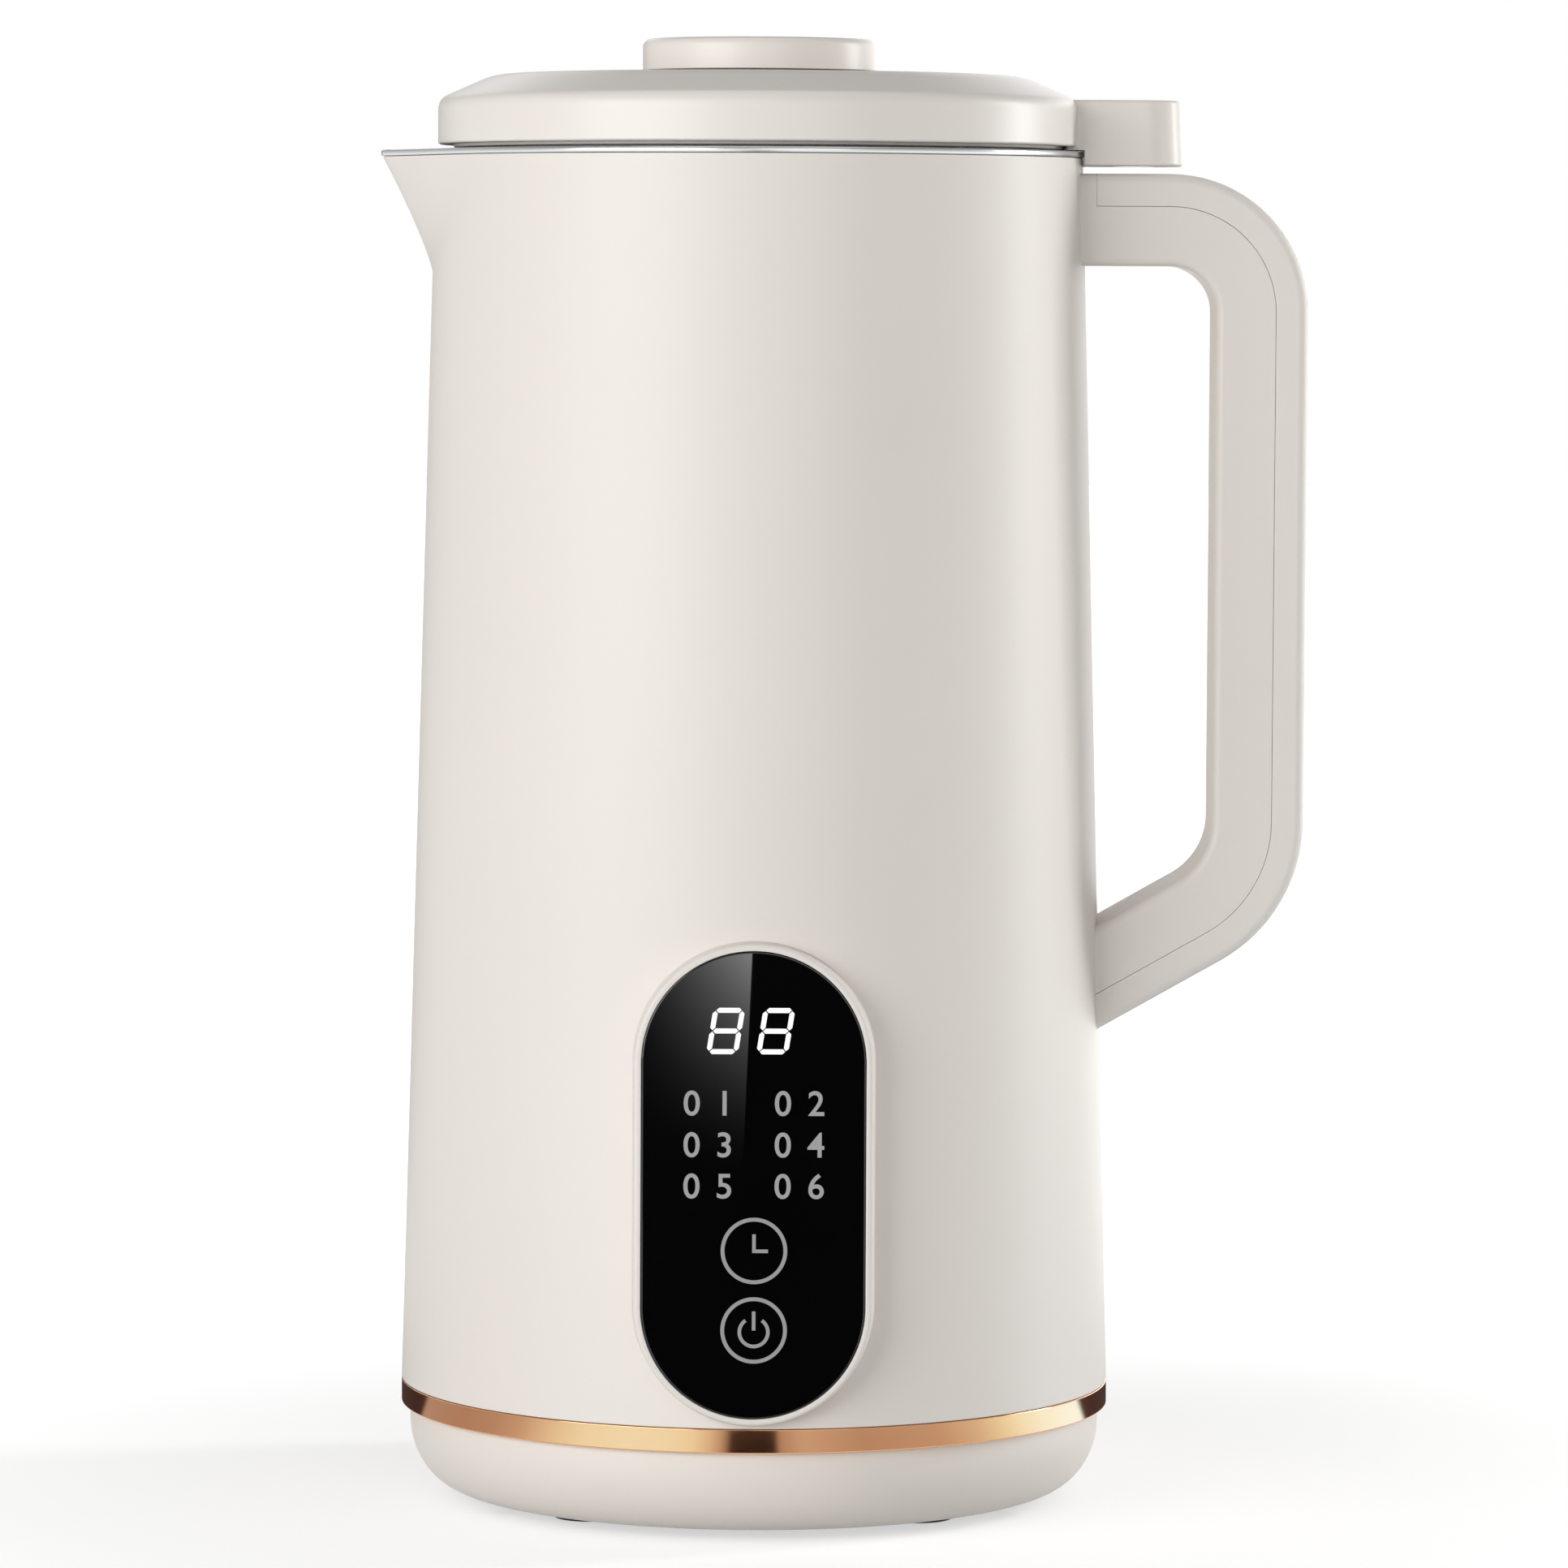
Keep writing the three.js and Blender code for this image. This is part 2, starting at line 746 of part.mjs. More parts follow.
function base_cup() {
  const spigot_inner = spigot_radius - base_wall;
  const cup = turned([
    [0, base_bottom],
    ...base_round(0, base_round_steps),
    [base_radius, trim_bottom],
    [spigot_radius, trim_bottom],
    [spigot_radius, trim_bottom + spigot_height],
    [spigot_inner, trim_bottom + spigot_height],
    [spigot_inner, trim_bottom - base_wall],
    ...base_round(base_wall, base_inner_round_steps).reverse(),
    [0, base_floor],
  ], large_steps);
  const wells = screw_places(base_screw_circle).map(({ x, y }) => (
    rod(screw_well_radius, base_bottom + base_wall / 2, screw_well_top, small_steps).translate(x, y, 0)
  ));
  const ribs = [-1, 1].map((side) => block(
    board_rib_thickness,
    board_rib_length,
    base_floor - base_wall / 2,
    base_floor + board_rib_height,
    -power_board_offset - board_thickness / 2 + side * (
      board_thickness / 2 + fit_gap + board_rib_thickness / 2
    ),
    0,
  ));
  const head_holes = screw_places(base_screw_circle).map(({ x, y }) => rod(
    base_screw_head_radius,
    base_bottom - overrun,
    base_bottom + screw_well_head_depth,
    small_steps,
  ).translate(x, y, 0));
  const shank_holes = screw_places(base_screw_circle).map(({ x, y }) => (
    rod(base_screw_radius, base_bottom, screw_well_top + overrun, small_steps).translate(x, y, 0)
  ));
  const foot_recesses = around(foot_count, foot_recess_tool().translate(foot_circle, 0, 0), Math.PI / 4);
  return cut(join(cup, ...wells, ...ribs), ...head_holes, ...shank_holes, ...foot_recesses, ...base_vents());
}

function trim_ring() {
  const inner = spigot_radius + fit_gap;
  return turned([
    [inner, trim_bottom],
    [shell_foot_radius - 2 * trim_edge, trim_bottom],
    [shell_foot_radius - trim_edge / 3, trim_bottom + trim_edge / 2],
    [shell_foot_radius, trim_bottom + 1.5 * trim_edge],
    [shell_foot_radius, shell_bottom],
    [inner, shell_bottom],
  ], large_steps);
}

// Outer shell and pot

function outer_shell() {
  const beak_heights = beak_row_shares.map((share) => beak_start + share * beak_height);
  const skin = closed_loft([
    shell_ring(shell_bottom, 0),
    ...beak_heights.map((height) => shell_ring(height, 0)),
    ...[...beak_heights].reverse().map((height) => shell_ring(height, shell_wall)),
    shell_ring(shell_bottom, shell_wall),
  ]);
  const post_bottom = screw_well_top + fit_gap;
  const posts = screw_places(base_screw_circle).flatMap(({ x, y }) => {
    const turn = Math.atan2(y, x);
    const rib_end = shell_radius(post_bottom) - shell_wall / 2;
    const rib_length = rib_end - base_screw_circle;
    return [
      rod(post_radius, post_bottom, post_bottom + post_height, small_steps).translate(x, y, 0),
      block(
        rib_length, post_rib, post_bottom, post_bottom + post_height, rib_end - rib_length / 2, 0,
      ).rotateZ(turn),
    ];
  });
  const post_holes = screw_places(base_screw_circle).map(({ x, y }) => (
    rod(base_screw_radius, post_bottom - overrun, post_bottom + post_height - post_rib, small_steps)
      .translate(x, y, 0)
  ));
  const panel_hole = out_of(panel_place, prism(
    stadium(
      glass_width + 2 * (bezel_rim - bezel_neck_inset + fit_gap),
      glass_height + 2 * (bezel_rim - bezel_neck_inset + fit_gap),
    ),
    -bezel_depth,
    overrun,
  ));
  const inlet_hole = out_of(inlet_place, prism(
    rounded_rectangle(inlet_width + 2 * fit_gap, inlet_height + 2 * fit_gap, inlet_flange_corner / 2),
    -inlet_depth,
    overrun,
  ));
  const screw_holes = handle_screw_heights.map((height) => along_x(rod(
    handle_screw_radius + fit_gap,
    screw_seat(height) - overrun,
    screw_seat(height) + shell_wall + overrun,
    small_steps,
  ), height));
  return cut(join(skin, ...posts), ...post_holes, panel_hole, inlet_hole, ...screw_holes);
}

/** Heights and radii of the pot's lower corner, from the flat floor up to the wall. */
function pot_corner_rings(outwards) {
  return Array.from({ length: pot_corner_steps + 1 }, (_, i) => {
    const angle = (Math.PI / 2) * (i / pot_corner_steps);
    const radius = pot_foot_radius - pot_corner + (pot_corner + outwards) * Math.sin(angle);
    const height = pot_floor + pot_corner - (pot_corner + outwards) * Math.cos(angle);
    return round_ring(height, radius);
  });
}

function round_ring(height, radius) {
  return spouted_ring(height, { radius, reach: radius, nose: beak_nose, inset: 0 });
}

/** Pot of thin sheet. Its rim turns out over the shell's top edge and ends in a rolled bead. */
function pot() {
  const wall_heights = pot_beak_row_shares.map((share) => lerp(beak_start, rim_bottom, share));
  const flange_top = rim_bottom + rim_flange;
  return closed_loft([
    round_ring(pot_underside, pot_hole_radius),
    ...pot_corner_rings(pot_wall),
    ...wall_heights.map((height) => pot_ring(height, pot_wall)),
    shell_ring(rim_bottom, 0),
    shell_ring(rim_bottom + rim_bead_height / 3, -rim_bead_overhang),
    shell_ring(rim_bottom + (2 * rim_bead_height) / 3, -rim_bead_overhang),
    shell_ring(rim_top, rim_bead_width / 3),
    shell_ring(flange_top, rim_bead_width),
    pot_ring(flange_top, rim_inner_round),
    pot_ring(flange_top - rim_inner_round, 0),
    ...[...wall_heights].reverse().slice(1).map((height) => pot_ring(height, 0)),
    ...pot_corner_rings(0).reverse(),
    round_ring(pot_floor, pot_hole_radius),
  ]);
}

// Heater and its sensors

/** An arc of a circle about the Z axis, open towards +X. */
class OpenRing extends THREE.Curve {
  constructor(radius, height, opening) {
    super();
    Object.assign(this, { radius, height, opening });
  }

  getPoint(t, target = new THREE.Vector3()) {
    const angle = this.opening / 2 + t * (2 * Math.PI - this.opening);
    return target.set(this.radius * Math.cos(angle), this.radius * Math.sin(angle), this.height);
  }
}

function ring_tube(tube_radius, opening) {
  const section = new THREE.Shape().absarc(0, 0, tube_radius, 0, 2 * Math.PI, false);
  return new THREE.ExtrudeGeometry(section, {
    steps: heater_tube_steps,
    curveSegments: heater_tube_sides / 2,
    extrudePath: new OpenRing(heater_tube_circle, heater_bottom, opening),
  });
}

/** The sheathed element: most of a ring, with a terminal pin hanging from each end. */
function heater_tube() {
  const opening = to_radians(heater_tube_opening);
  const pins = [-1, 1].map((side) => {
    const angle = side * (opening / 2 + heater_pin_radius / heater_tube_circle);
    return rod(heater_pin_radius, heater_bottom - heater_pin_length, heater_bottom, small_steps)
      .translate(heater_tube_circle * Math.cos(angle), heater_tube_circle * Math.sin(angle), 0);
  });
  return join(ring_tube(heater_tube_radius, opening), ...pins);
}

function heater_plate() {
  const plate = tube(heater_plate_radius, heater_plate_hole, heater_bottom, pot_underside, middle_steps);
  const groove_opening = to_radians(heater_tube_opening) - (2 * overrun) / heater_tube_circle;
  return cut(plate, ring_tube(heater_tube_radius + fit_gap, groove_opening));
}

/** Sets a sensor under the heater plate, on one side of the hole or the other. */
function under_plate(geometry, side) {
  const angle = side * to_radians(sensor_angle);
  return geometry.translate(sensor_circle * Math.cos(angle), sensor_circle * Math.sin(angle), 0);
}

function temperature_probe() {
  const top = heater_bottom - fit_gap;
  const bottom = top - probe_height;
  return under_plate(turned([
    [0, bottom - sensor_tail],
    [probe_tail_radius, bottom - sensor_tail],
    [probe_tail_radius, bottom],
    [probe_radius, bottom],
    [probe_radius, top],
    [0, top],
  ], small_steps), 1);
}

function thermostat() {
  const top = heater_bottom - fit_gap;
  const bottom = top - thermostat_height;
  const tags = [-1, 1].map((side) => block(
    thermostat_tag_width,
    thermostat_tag_thickness,
    bottom - sensor_tail,
    bottom + thermostat_height / 2,
    (side * thermostat_radius) / 2,
    0,
  ));
  return under_plate(join(rod(thermostat_radius, bottom, top, small_steps), ...tags), -1);
}

// Blade seat in the floor of the pot

function blade_seat() {
  const flange_top = pot_floor + seat_flange_height;
  const lip_bottom = seat_top - seat_lip_height;
  const lip_radius = blade_shaft_radius + fit_gap;
  return turned([
    [seat_bore_radius, seat_bottom],
    [seat_radius, seat_bottom],
    [seat_radius, pot_floor],
    [seat_flange_radius, pot_floor],
    [seat_flange_radius, flange_top - seat_flange_height / 2],
    [seat_flange_radius - seat_flange_height / 2, flange_top],
    [seat_radius, flange_top],
    [seat_neck_radius, lip_bottom],
    [lip_radius, seat_top],
    [lip_radius, lip_bottom],
    [seat_bore_radius, lip_bottom],
  ], middle_steps);
}

function seat_nut() {
  const hexagon_sides = 6;
  const blank = rod(seat_nut_radius, pot_underside - seat_nut_height, pot_underside, hexagon_sides);
  const thread = rod(
    seat_radius + fit_gap, pot_underside - seat_nut_height - overrun, pot_underside + overrun, middle_steps,
  );
  return cut(blank, thread);
}

const seal_top = seat_top - seat_lip_height - fit_gap;
const bush_top = seal_top - seal_height - fit_gap;

function shaft_bush() {
  const bore = blade_shaft_radius + running_gap;
  return tube(seat_bore_radius - fit_gap, bore, bush_top - bush_length, bush_top, small_steps);
}

function shaft_seal() {
  const bore = blade_shaft_radius + running_gap;
  return tube(seat_bore_radius - fit_gap, bore, seal_top - seal_height, seal_top, small_steps);
}

// The turning parts

const shaft_step = upper_shield_top + bearing_lip;

function shaft() {
  return turned([
    [0, motor_bottom],
    [shaft_radius, motor_bottom],
    [shaft_radius, shaft_step],
    [blade_shaft_radius, shaft_step + (shaft_radius - blade_shaft_radius)],
    [blade_shaft_radius, blade_bottom],
    [blade_stub_radius, blade_bottom],
    [blade_stub_radius, blade_top + blade_nut_height],
    [0, blade_top + blade_nut_height],
  ], small_steps);
}

/** One wing of the blade: a strip bent up or down past its root, trimmed to its plan outline. */
function blade_wing(bend_angle) {
  const run = blade_reach - blade_bend_start;
  const rise = run * Math.tan(to_radians(bend_angle));
  const side = new THREE.Shape();
  side.moveTo(0, 0);
  side.lineTo(blade_bend_start, 0);
  side.lineTo(blade_reach, rise);
  side.lineTo(blade_reach, rise + blade_thickness / Math.cos(to_radians(bend_angle)));
  side.lineTo(blade_bend_start, blade_thickness);
  side.lineTo(0, blade_thickness);
  side.closePath();
  const strip = upright(prism(side, -blade_root_width, blade_root_width)).translate(0, 0, blade_bottom);
  const half_root = blade_root_width / 2;
  const plan = new THREE.Shape();
  plan.moveTo(0, -half_root);
  plan.lineTo(blade_bend_start, -half_root);
  plan.quadraticCurveTo(
    blade_reach - blade_tip_width, -half_root, blade_reach, half_root - blade_tip_width,
  );
  plan.lineTo(blade_reach - blade_tip_width / 4, half_root);
  plan.lineTo(0, half_root);
  plan.closePath();
  return common(strip, prism(plan, blade_bottom - blade_reach, blade_top + blade_reach));
}

/** Cross blade with two wings bent up and two bent down. */
function blade() {
  const hub = rod(blade_hub_radius, blade_bottom, blade_top, small_steps);
  const rising = around(2, blade_wing(blade_rise_angle));
  const falling = around(2, blade_wing(-blade_fall_angle), Math.PI / 2);
  const hole = rod(blade_stub_radius + running_gap, blade_bottom - overrun, blade_top + overrun, small_steps);
  return cut(join(hub, ...rising, ...falling), hole);
}

function blade_nut() {
  const hexagon_sides = 6;
  const hexagon = rod(blade_nut_radius, blade_top, blade_top + blade_nut_height, hexagon_sides);
  const dome_radius = blade_nut_radius * Math.cos(Math.PI / hexagon_sides);
  const dome_base = blade_top + blade_nut_height / 2;
  const dome_top = blade_top + blade_nut_height + blade_nut_dome;
  const dome = turned([
    [0, dome_base],
    [dome_radius, dome_base],
    [dome_radius, blade_top + blade_nut_height],
    [dome_radius * Math.SQRT1_2, lerp(blade_top + blade_nut_height, dome_top, Math.SQRT1_2)],
    [0, dome_top],
  ], small_steps);
  const thread = rod(
    blade_stub_radius + running_gap, blade_top - overrun, blade_top + blade_nut_height + fit_gap, small_steps,
  );
  return cut(join(hexagon, dome), thread);
}

function cooling_fan() {
  const hub = rod(fan_hub_radius, motor_bottom, fan_top, small_steps);
  const disc = rod(fan_radius, motor_bottom, motor_bottom + fan_disc, middle_steps);
  const blade_start = fan_hub_radius / 2;
  const blade_end = fan_radius - fan_blade;
  const wing = block(
    blade_end - blade_start, fan_blade, motor_bottom, fan_top, (blade_start + blade_end) / 2, 0,
  );
  const bore = rod(shaft_radius + running_gap, motor_bottom - overrun, fan_top + overrun, small_steps);
  return cut(join(hub, disc, ...around(fan_blade_count, wing)), bore);
}

function commutator() {
  const body = tube(
    commutator_radius, shaft_radius + running_gap, commutator_bottom, commutator_top, middle_steps,
  );
  const slot = block(
    commutator_slot, 2 * commutator_slot, commutator_bottom - overrun, commutator_top + overrun,
    0, commutator_radius,
  );
  return cut(body, ...around(commutator_bars, slot));
}

function armature_core() {
  const body = tube(
    armature_radius, shaft_radius + running_gap, armature_bottom, armature_top, middle_steps,
  );
  const slot = block(
    armature_slot_width,
    2 * armature_slot_depth,
    armature_bottom - overrun,
    armature_top + overrun,
    0,
    armature_radius,
  );
  return cut(body, ...around(armature_slots, slot));
}

/** Two end rings of wire, with a bar of wire through each slot of the core between them. */
function armature_winding() {
  const bore = shaft_radius + running_gap;
  const bar_depth = armature_slot_depth - 2 * fit_gap;
  const bar_middle = armature_radius - armature_slot_depth / 2;
  const bar = block(
    armature_slot_width - 2 * fit_gap,
    bar_depth,
    armature_bottom - winding_height / 2,
    armature_top + winding_height / 2,
    0,
    bar_middle,
  );
  return join(
    tube(winding_radius, bore, armature_bottom - winding_height, armature_bottom, middle_steps),
    tube(winding_radius, bore, armature_top, armature_top + winding_height, middle_steps),
    ...around(armature_slots, bar),
  );
}

// The motor's fixed parts

const bolt_places = [-1, 1].map((side) => side * motor_bolt_circle);

function bolt_holes(bottom, top) {
  return bolt_places.map((y) => (
    rod(motor_bolt_radius + fit_gap, bottom - overrun, top + overrun, small_steps).translate(0, y, 0)
  ));
}

function bolt_columns(bottom, top) {
  return bolt_places.map((y) => rod(motor_column_radius, bottom, top, small_steps).translate(0, y, 0));
}

function shield_plate(bottom) {
  return prism(
    rounded_rectangle(shield_width, shield_depth, shield_corner), bottom, bottom + shield_thickness,
  );
}

/** Motor end frame under the commutator, with its bearing cup and two columns. */
function lower_shield() {
  const cup_top = lower_shield_bottom + bearing_lip + bearing_height;
  const whole = join(
    shield_plate(lower_shield_bottom),
    rod(bearing_cup_radius, lower_shield_bottom, cup_top, middle_steps),
    ...bolt_columns(lower_shield_bottom, armature_bottom),
  );
  return cut(
    whole,
    rod(bearing_radius + fit_gap, lower_shield_bottom + bearing_lip, cup_top + overrun, middle_steps),
    rod(bearing_lip_radius, lower_shield_bottom - overrun, cup_top, small_steps),
    ...bolt_holes(lower_shield_bottom, armature_bottom),
  );
}

function upper_shield() {
  const cup_bottom = upper_shield_top - bearing_lip - bearing_height;
  const whole = join(
    shield_plate(upper_shield_bottom),
    rod(bearing_cup_radius, cup_bottom, upper_shield_top, middle_steps),
    ...bolt_columns(armature_top, upper_shield_top),
  );
  return cut(
    whole,
    rod(bearing_radius + fit_gap, cup_bottom - overrun, upper_shield_top - bearing_lip, middle_steps),
    rod(bearing_lip_radius, cup_bottom, upper_shield_top + overrun, small_steps),
    ...bolt_holes(armature_top, upper_shield_top),
  );
}

function bearing(bottom) {
  return tube(bearing_radius, shaft_radius + running_gap, bottom, bottom + bearing_height, small_steps);
}

/** Laminated field core with two poles, whose shoes curve round the armature. */
function stator() {
  const [bottom, top] = [armature_bottom, armature_top];
  const bore = armature_radius + air_gap;
  const core = prism(rounded_rectangle(stator_width, stator_depth, stator_corner), bottom, top);
  const window = cut(
    prism(rounded_rectangle(coil_window_width, coil_window_depth, coil_corner), bottom - overrun, top + overrun),
    rod(bore + pole_shoe, bottom - 2 * overrun, top + 2 * overrun, middle_steps),
    block(2 * stator_width, pole_width, bottom - 2 * overrun, top + 2 * overrun, 0, 0),
  );
  return cut(
    core,
    window,
    rod(bore, bottom - overrun, top + overrun, middle_steps),
    block(pole_tip_gap, coil_window_depth, bottom - overrun, top + overrun, 0, 0),
    ...bolt_holes(bottom, top),
  );
}

/** Field coil wound round one pole. */
function field_coil(side) {
  const middle = (armature_bottom + armature_top) / 2;
  const inner_width = pole_width + 2 * fit_gap;
  const inner_height = armature_height + 2 * fit_gap;
  const ring = rounded_rectangle(
    inner_width + 2 * coil_thickness, inner_height + 2 * coil_thickness, coil_corner,
  );
  ring.holes.push(rounded_rectangle(inner_width, inner_height, fit_gap));
  const inner_face = armature_radius + air_gap + pole_shoe + fit_gap;
  const outer_face = coil_window_width / 2 - fit_gap;
  return prism(ring, inner_face, outer_face)
    .rotateZ(Math.PI / 2)
    .rotateY((side * Math.PI) / 2)
    .translate(0, 0, middle);
}

const brush_middle = (commutator_bottom + commutator_top) / 2;

function brush(side) {
  const start = commutator_radius + running_gap;
  return block(
    brush_length, brush_width, brush_middle - brush_height / 2, brush_middle + brush_height / 2,
    side * (start + brush_length / 2), 0,
  );
}

function brush_holder(side) {
  const half_hole = brush_height / 2 + fit_gap;
  const middle = shield_width / 2 - brush_holder_length / 2;
  const body = block(
    brush_holder_length,
    brush_width + 2 * (fit_gap + brush_holder_wall),
    lower_shield_top,
    brush_middle + half_hole + brush_holder_wall,
    side * middle,
    0,
  );
  const hole = block(
    brush_holder_length + 2 * overrun,
    brush_width + 2 * fit_gap,
    brush_middle - half_hole,
    brush_middle + half_hole,
    side * middle,
    0,
  );
  return cut(body, hole);
}

function damper(y) {
  const bore = motor_bolt_radius + fit_gap;
  return turned([
    [bore, upper_shield_top],
    [damper_flange_radius, upper_shield_top],
    [damper_flange_radius, upper_shield_top + damper_flange_height],
    [damper_radius, upper_shield_top + damper_flange_height],
    [damper_radius, spider_top + fit_gap],
    [bore, spider_top + fit_gap],
  ], small_steps).translate(0, y, 0);
}

/** Long screw through a damper and the field core, into the lower shield's column. */
function motor_bolt(y) {
  const head_bottom = spider_top + fit_gap;
  return turned([
    [0, lower_shield_top],
    [motor_bolt_radius, lower_shield_top],
    [motor_bolt_radius, head_bottom],
    [motor_bolt_head_radius, head_bottom],
    [motor_bolt_head_radius, head_bottom + motor_bolt_head_height],
    [0, head_bottom + motor_bolt_head_height],
  ], small_steps).translate(0, y, 0);
}

/** Plate with three pillars, which hangs the motor from the heater plate through two rubber dampers. */
function motor_spider() {
  const hub = rod(spider_hub_radius, spider_bottom, spider_top, middle_steps);
  const arm_start = spider_hub_radius - spider_arm_width / 2;
  const arm = block(
    spider_pillar_circle - arm_start,
    spider_arm_width,
    spider_bottom,
    spider_top,
    (spider_pillar_circle + arm_start) / 2,
    0,
  );
  const pillar = rod(spider_pillar_radius, spider_bottom, heater_bottom, small_steps)
    .translate(spider_pillar_circle, 0, 0);
  const foot_pad = rod(spider_arm_width / 2, spider_bottom, spider_top, small_steps)
    .translate(spider_pillar_circle, 0, 0);
  const damper_holes = bolt_places.map((y) => (
    rod(damper_radius + fit_gap, spider_bottom - overrun, spider_top + overrun, small_steps).translate(0, y, 0)
  ));
  return cut(
    join(
      hub,
      ...around(spider_arm_count, arm),
      ...around(spider_arm_count, foot_pad),
      ...around(spider_arm_count, pillar),
    ),
    rod(spider_hole_radius, spider_bottom - overrun, spider_top + overrun, middle_steps),
    ...damper_holes,
  );
}

// Power board

const power_board_bottom = base_floor + fit_gap;

function power_board() {
  return block(
    board_thickness,
    power_board_width,
    power_board_bottom,
    power_board_bottom + power_board_height,
    -power_board_offset - board_thickness / 2,
    0,
  );
}

/** Switching relay on the outer face of the power board. */
function relay() {
  const face = -power_board_offset - board_thickness;
  const bottom = power_board_bottom + relay_above_board_foot - relay_size.z / 2;
  return block(
    relay_size.x, relay_size.y, bottom, bottom + relay_size.z, face - relay_size.x / 2, relay_sideways,
  );
}

// Touch panel, drawn in its own frame on the shell's front

const pocket_depth = glass_recess + glass_thickness + fit_gap;
const neck_width = glass_width + 2 * (bezel_rim - bezel_neck_inset);
const neck_height = glass_height + 2 * (bezel_rim - bezel_neck_inset);
const neck_inner_width = neck_width - 2 * bezel_neck_wall;
const neck_inner_height = neck_height - 2 * bezel_neck_wall;

/** Raised rim round the glass, scribed to the shell, with a neck through the shell behind it. */
function panel_bezel() {
  const boss = cut(
    soft_prism(
      stadium(glass_width + 2 * bezel_rim, glass_height + 2 * bezel_rim), -bezel_depth, 0, bezel_edge, 2,
    ),
    into(panel_place, shell_cone(fit_gap)),
  );
  const neck = prism(stadium(neck_width, neck_height), -bezel_depth, -pocket_depth);
  return cut(
    join(boss, neck),
    prism(stadium(glass_width + 2 * glass_gap, glass_height + 2 * glass_gap), -pocket_depth, overrun),
    prism(
      stadium(glass_width - 2 * bezel_ledge, glass_height - 2 * bezel_ledge), -bezel_depth - overrun, overrun,
    ),
    prism(
      stadium(neck_inner_width, neck_inner_height),
      -bezel_depth - overrun,
      fit_gap - display_board_depth,
    ),
  );
}

function panel_glass() {
  return soft_prism(
    stadium(glass_width, glass_height), -glass_recess - glass_thickness, -glass_recess, fit_gap, 1,
  );
}

function display_board() {
  return prism(
    stadium(neck_inner_width - 2 * fit_gap, neck_inner_height - 2 * fit_gap),
    -display_board_depth - board_thickness,
    -display_board_depth,
  );
}

function display_module() {
  const back = fit_gap - display_board_depth;
  const front = -pocket_depth - fit_gap;
  const middle = glass_height / 2 - display_below_glass_top;
  return block(display_width_share * glass_width, display_height, back, front, 0, middle);
}

// Power inlet, drawn in its own frame on the shell's back

function inlet_socket_outline() {
  const x = inlet_socket_width / 2;
  const y = inlet_socket_height / 2;
  return new THREE.Shape([
    new THREE.Vector2(-x, -y),
    new THREE.Vector2(x, -y),
    new THREE.Vector2(x, y - inlet_socket_chamfer),
    new THREE.Vector2(x - inlet_socket_chamfer, y),
    new THREE.Vector2(inlet_socket_chamfer - x, y),
    new THREE.Vector2(-x, y - inlet_socket_chamfer),
  ]);
}

/** Sideways and upward place of each pin: the earth pin stands above the other two. */
const inlet_pins = [
  ['inlet_pin_left', -inlet_pin_spacing, -inlet_pin_offset],
  ['inlet_pin_right', inlet_pin_spacing, -inlet_pin_offset],
  ['inlet_pin_earth', 0, inlet_pin_offset],
];

function power_inlet() {
  const flange = cut(
    prism(
      rounded_rectangle(inlet_flange_width, inlet_flange_height, inlet_flange_corner), -inlet_depth / 2, 0,
    ),
    into(inlet_place, shell_cone(fit_gap)),
  );
  const body = prism(rounded_rectangle(inlet_width, inlet_height, inlet_flange_corner / 2), -inlet_depth, 0);
  const pin_holes = inlet_pins.map(([, x, y]) => block(
    inlet_pin_width + 2 * fit_gap,
    inlet_pin_height + 2 * fit_gap,
    -inlet_depth - overrun,
    -inlet_socket_depth + overrun,
    x,
    y,
  ));
  return cut(join(flange, body), prism(inlet_socket_outline(), -inlet_socket_depth, overrun), ...pin_holes);
}

function inlet_pin(x, y) {
  return block(
    inlet_pin_width, inlet_pin_height, -inlet_depth - inlet_pin_tail, -inlet_pin_tip_depth, x, y,
  );
}

// Handle

const upper_corner = new THREE.Vector2(
  handle_reach - handle_upper_corner, handle_top - handle_upper_corner,
);
const lower_corner = new THREE.Vector2(
  handle_reach - handle_lower_corner, shell_bottom + handle_lower_corner_height,
);
const lower_slope = to_radians(handle_lower_slope);
const lower_end_turn = lower_slope - Math.PI / 2;

/** Height of the handle's sloping lower arm, at a depth under its outer side and a distance out. */
function lower_arm_height(depth, distance) {
  const radius = handle_lower_corner - depth;
  const x = lower_corner.x + radius * Math.cos(lower_end_turn);
  const z = lower_corner.y + radius * Math.sin(lower_end_turn);
  return z - (x - distance) * Math.tan(lower_slope);
}

/** Where the inside of the shell's wall lies, for the head of a screw through it at a height. */
function screw_seat(height) {
  const above = shell_radius(height + handle_screw_head_radius);
  const below = shell_radius(height - handle_screw_head_radius);
  return Math.min(above, below) - shell_wall - fit_gap;
}

const lower_screw_end = screw_seat(lower_corner.y) + handle_screw_length;
const handle_screw_heights = [
  handle_top - handle_bar + handle_upper_screw_height,
  lower_arm_height(handle_cover_thickness + handle_seam, lower_screw_end)
    + handle_screw_radius + fit_gap + handle_screw_cover_gap,
];

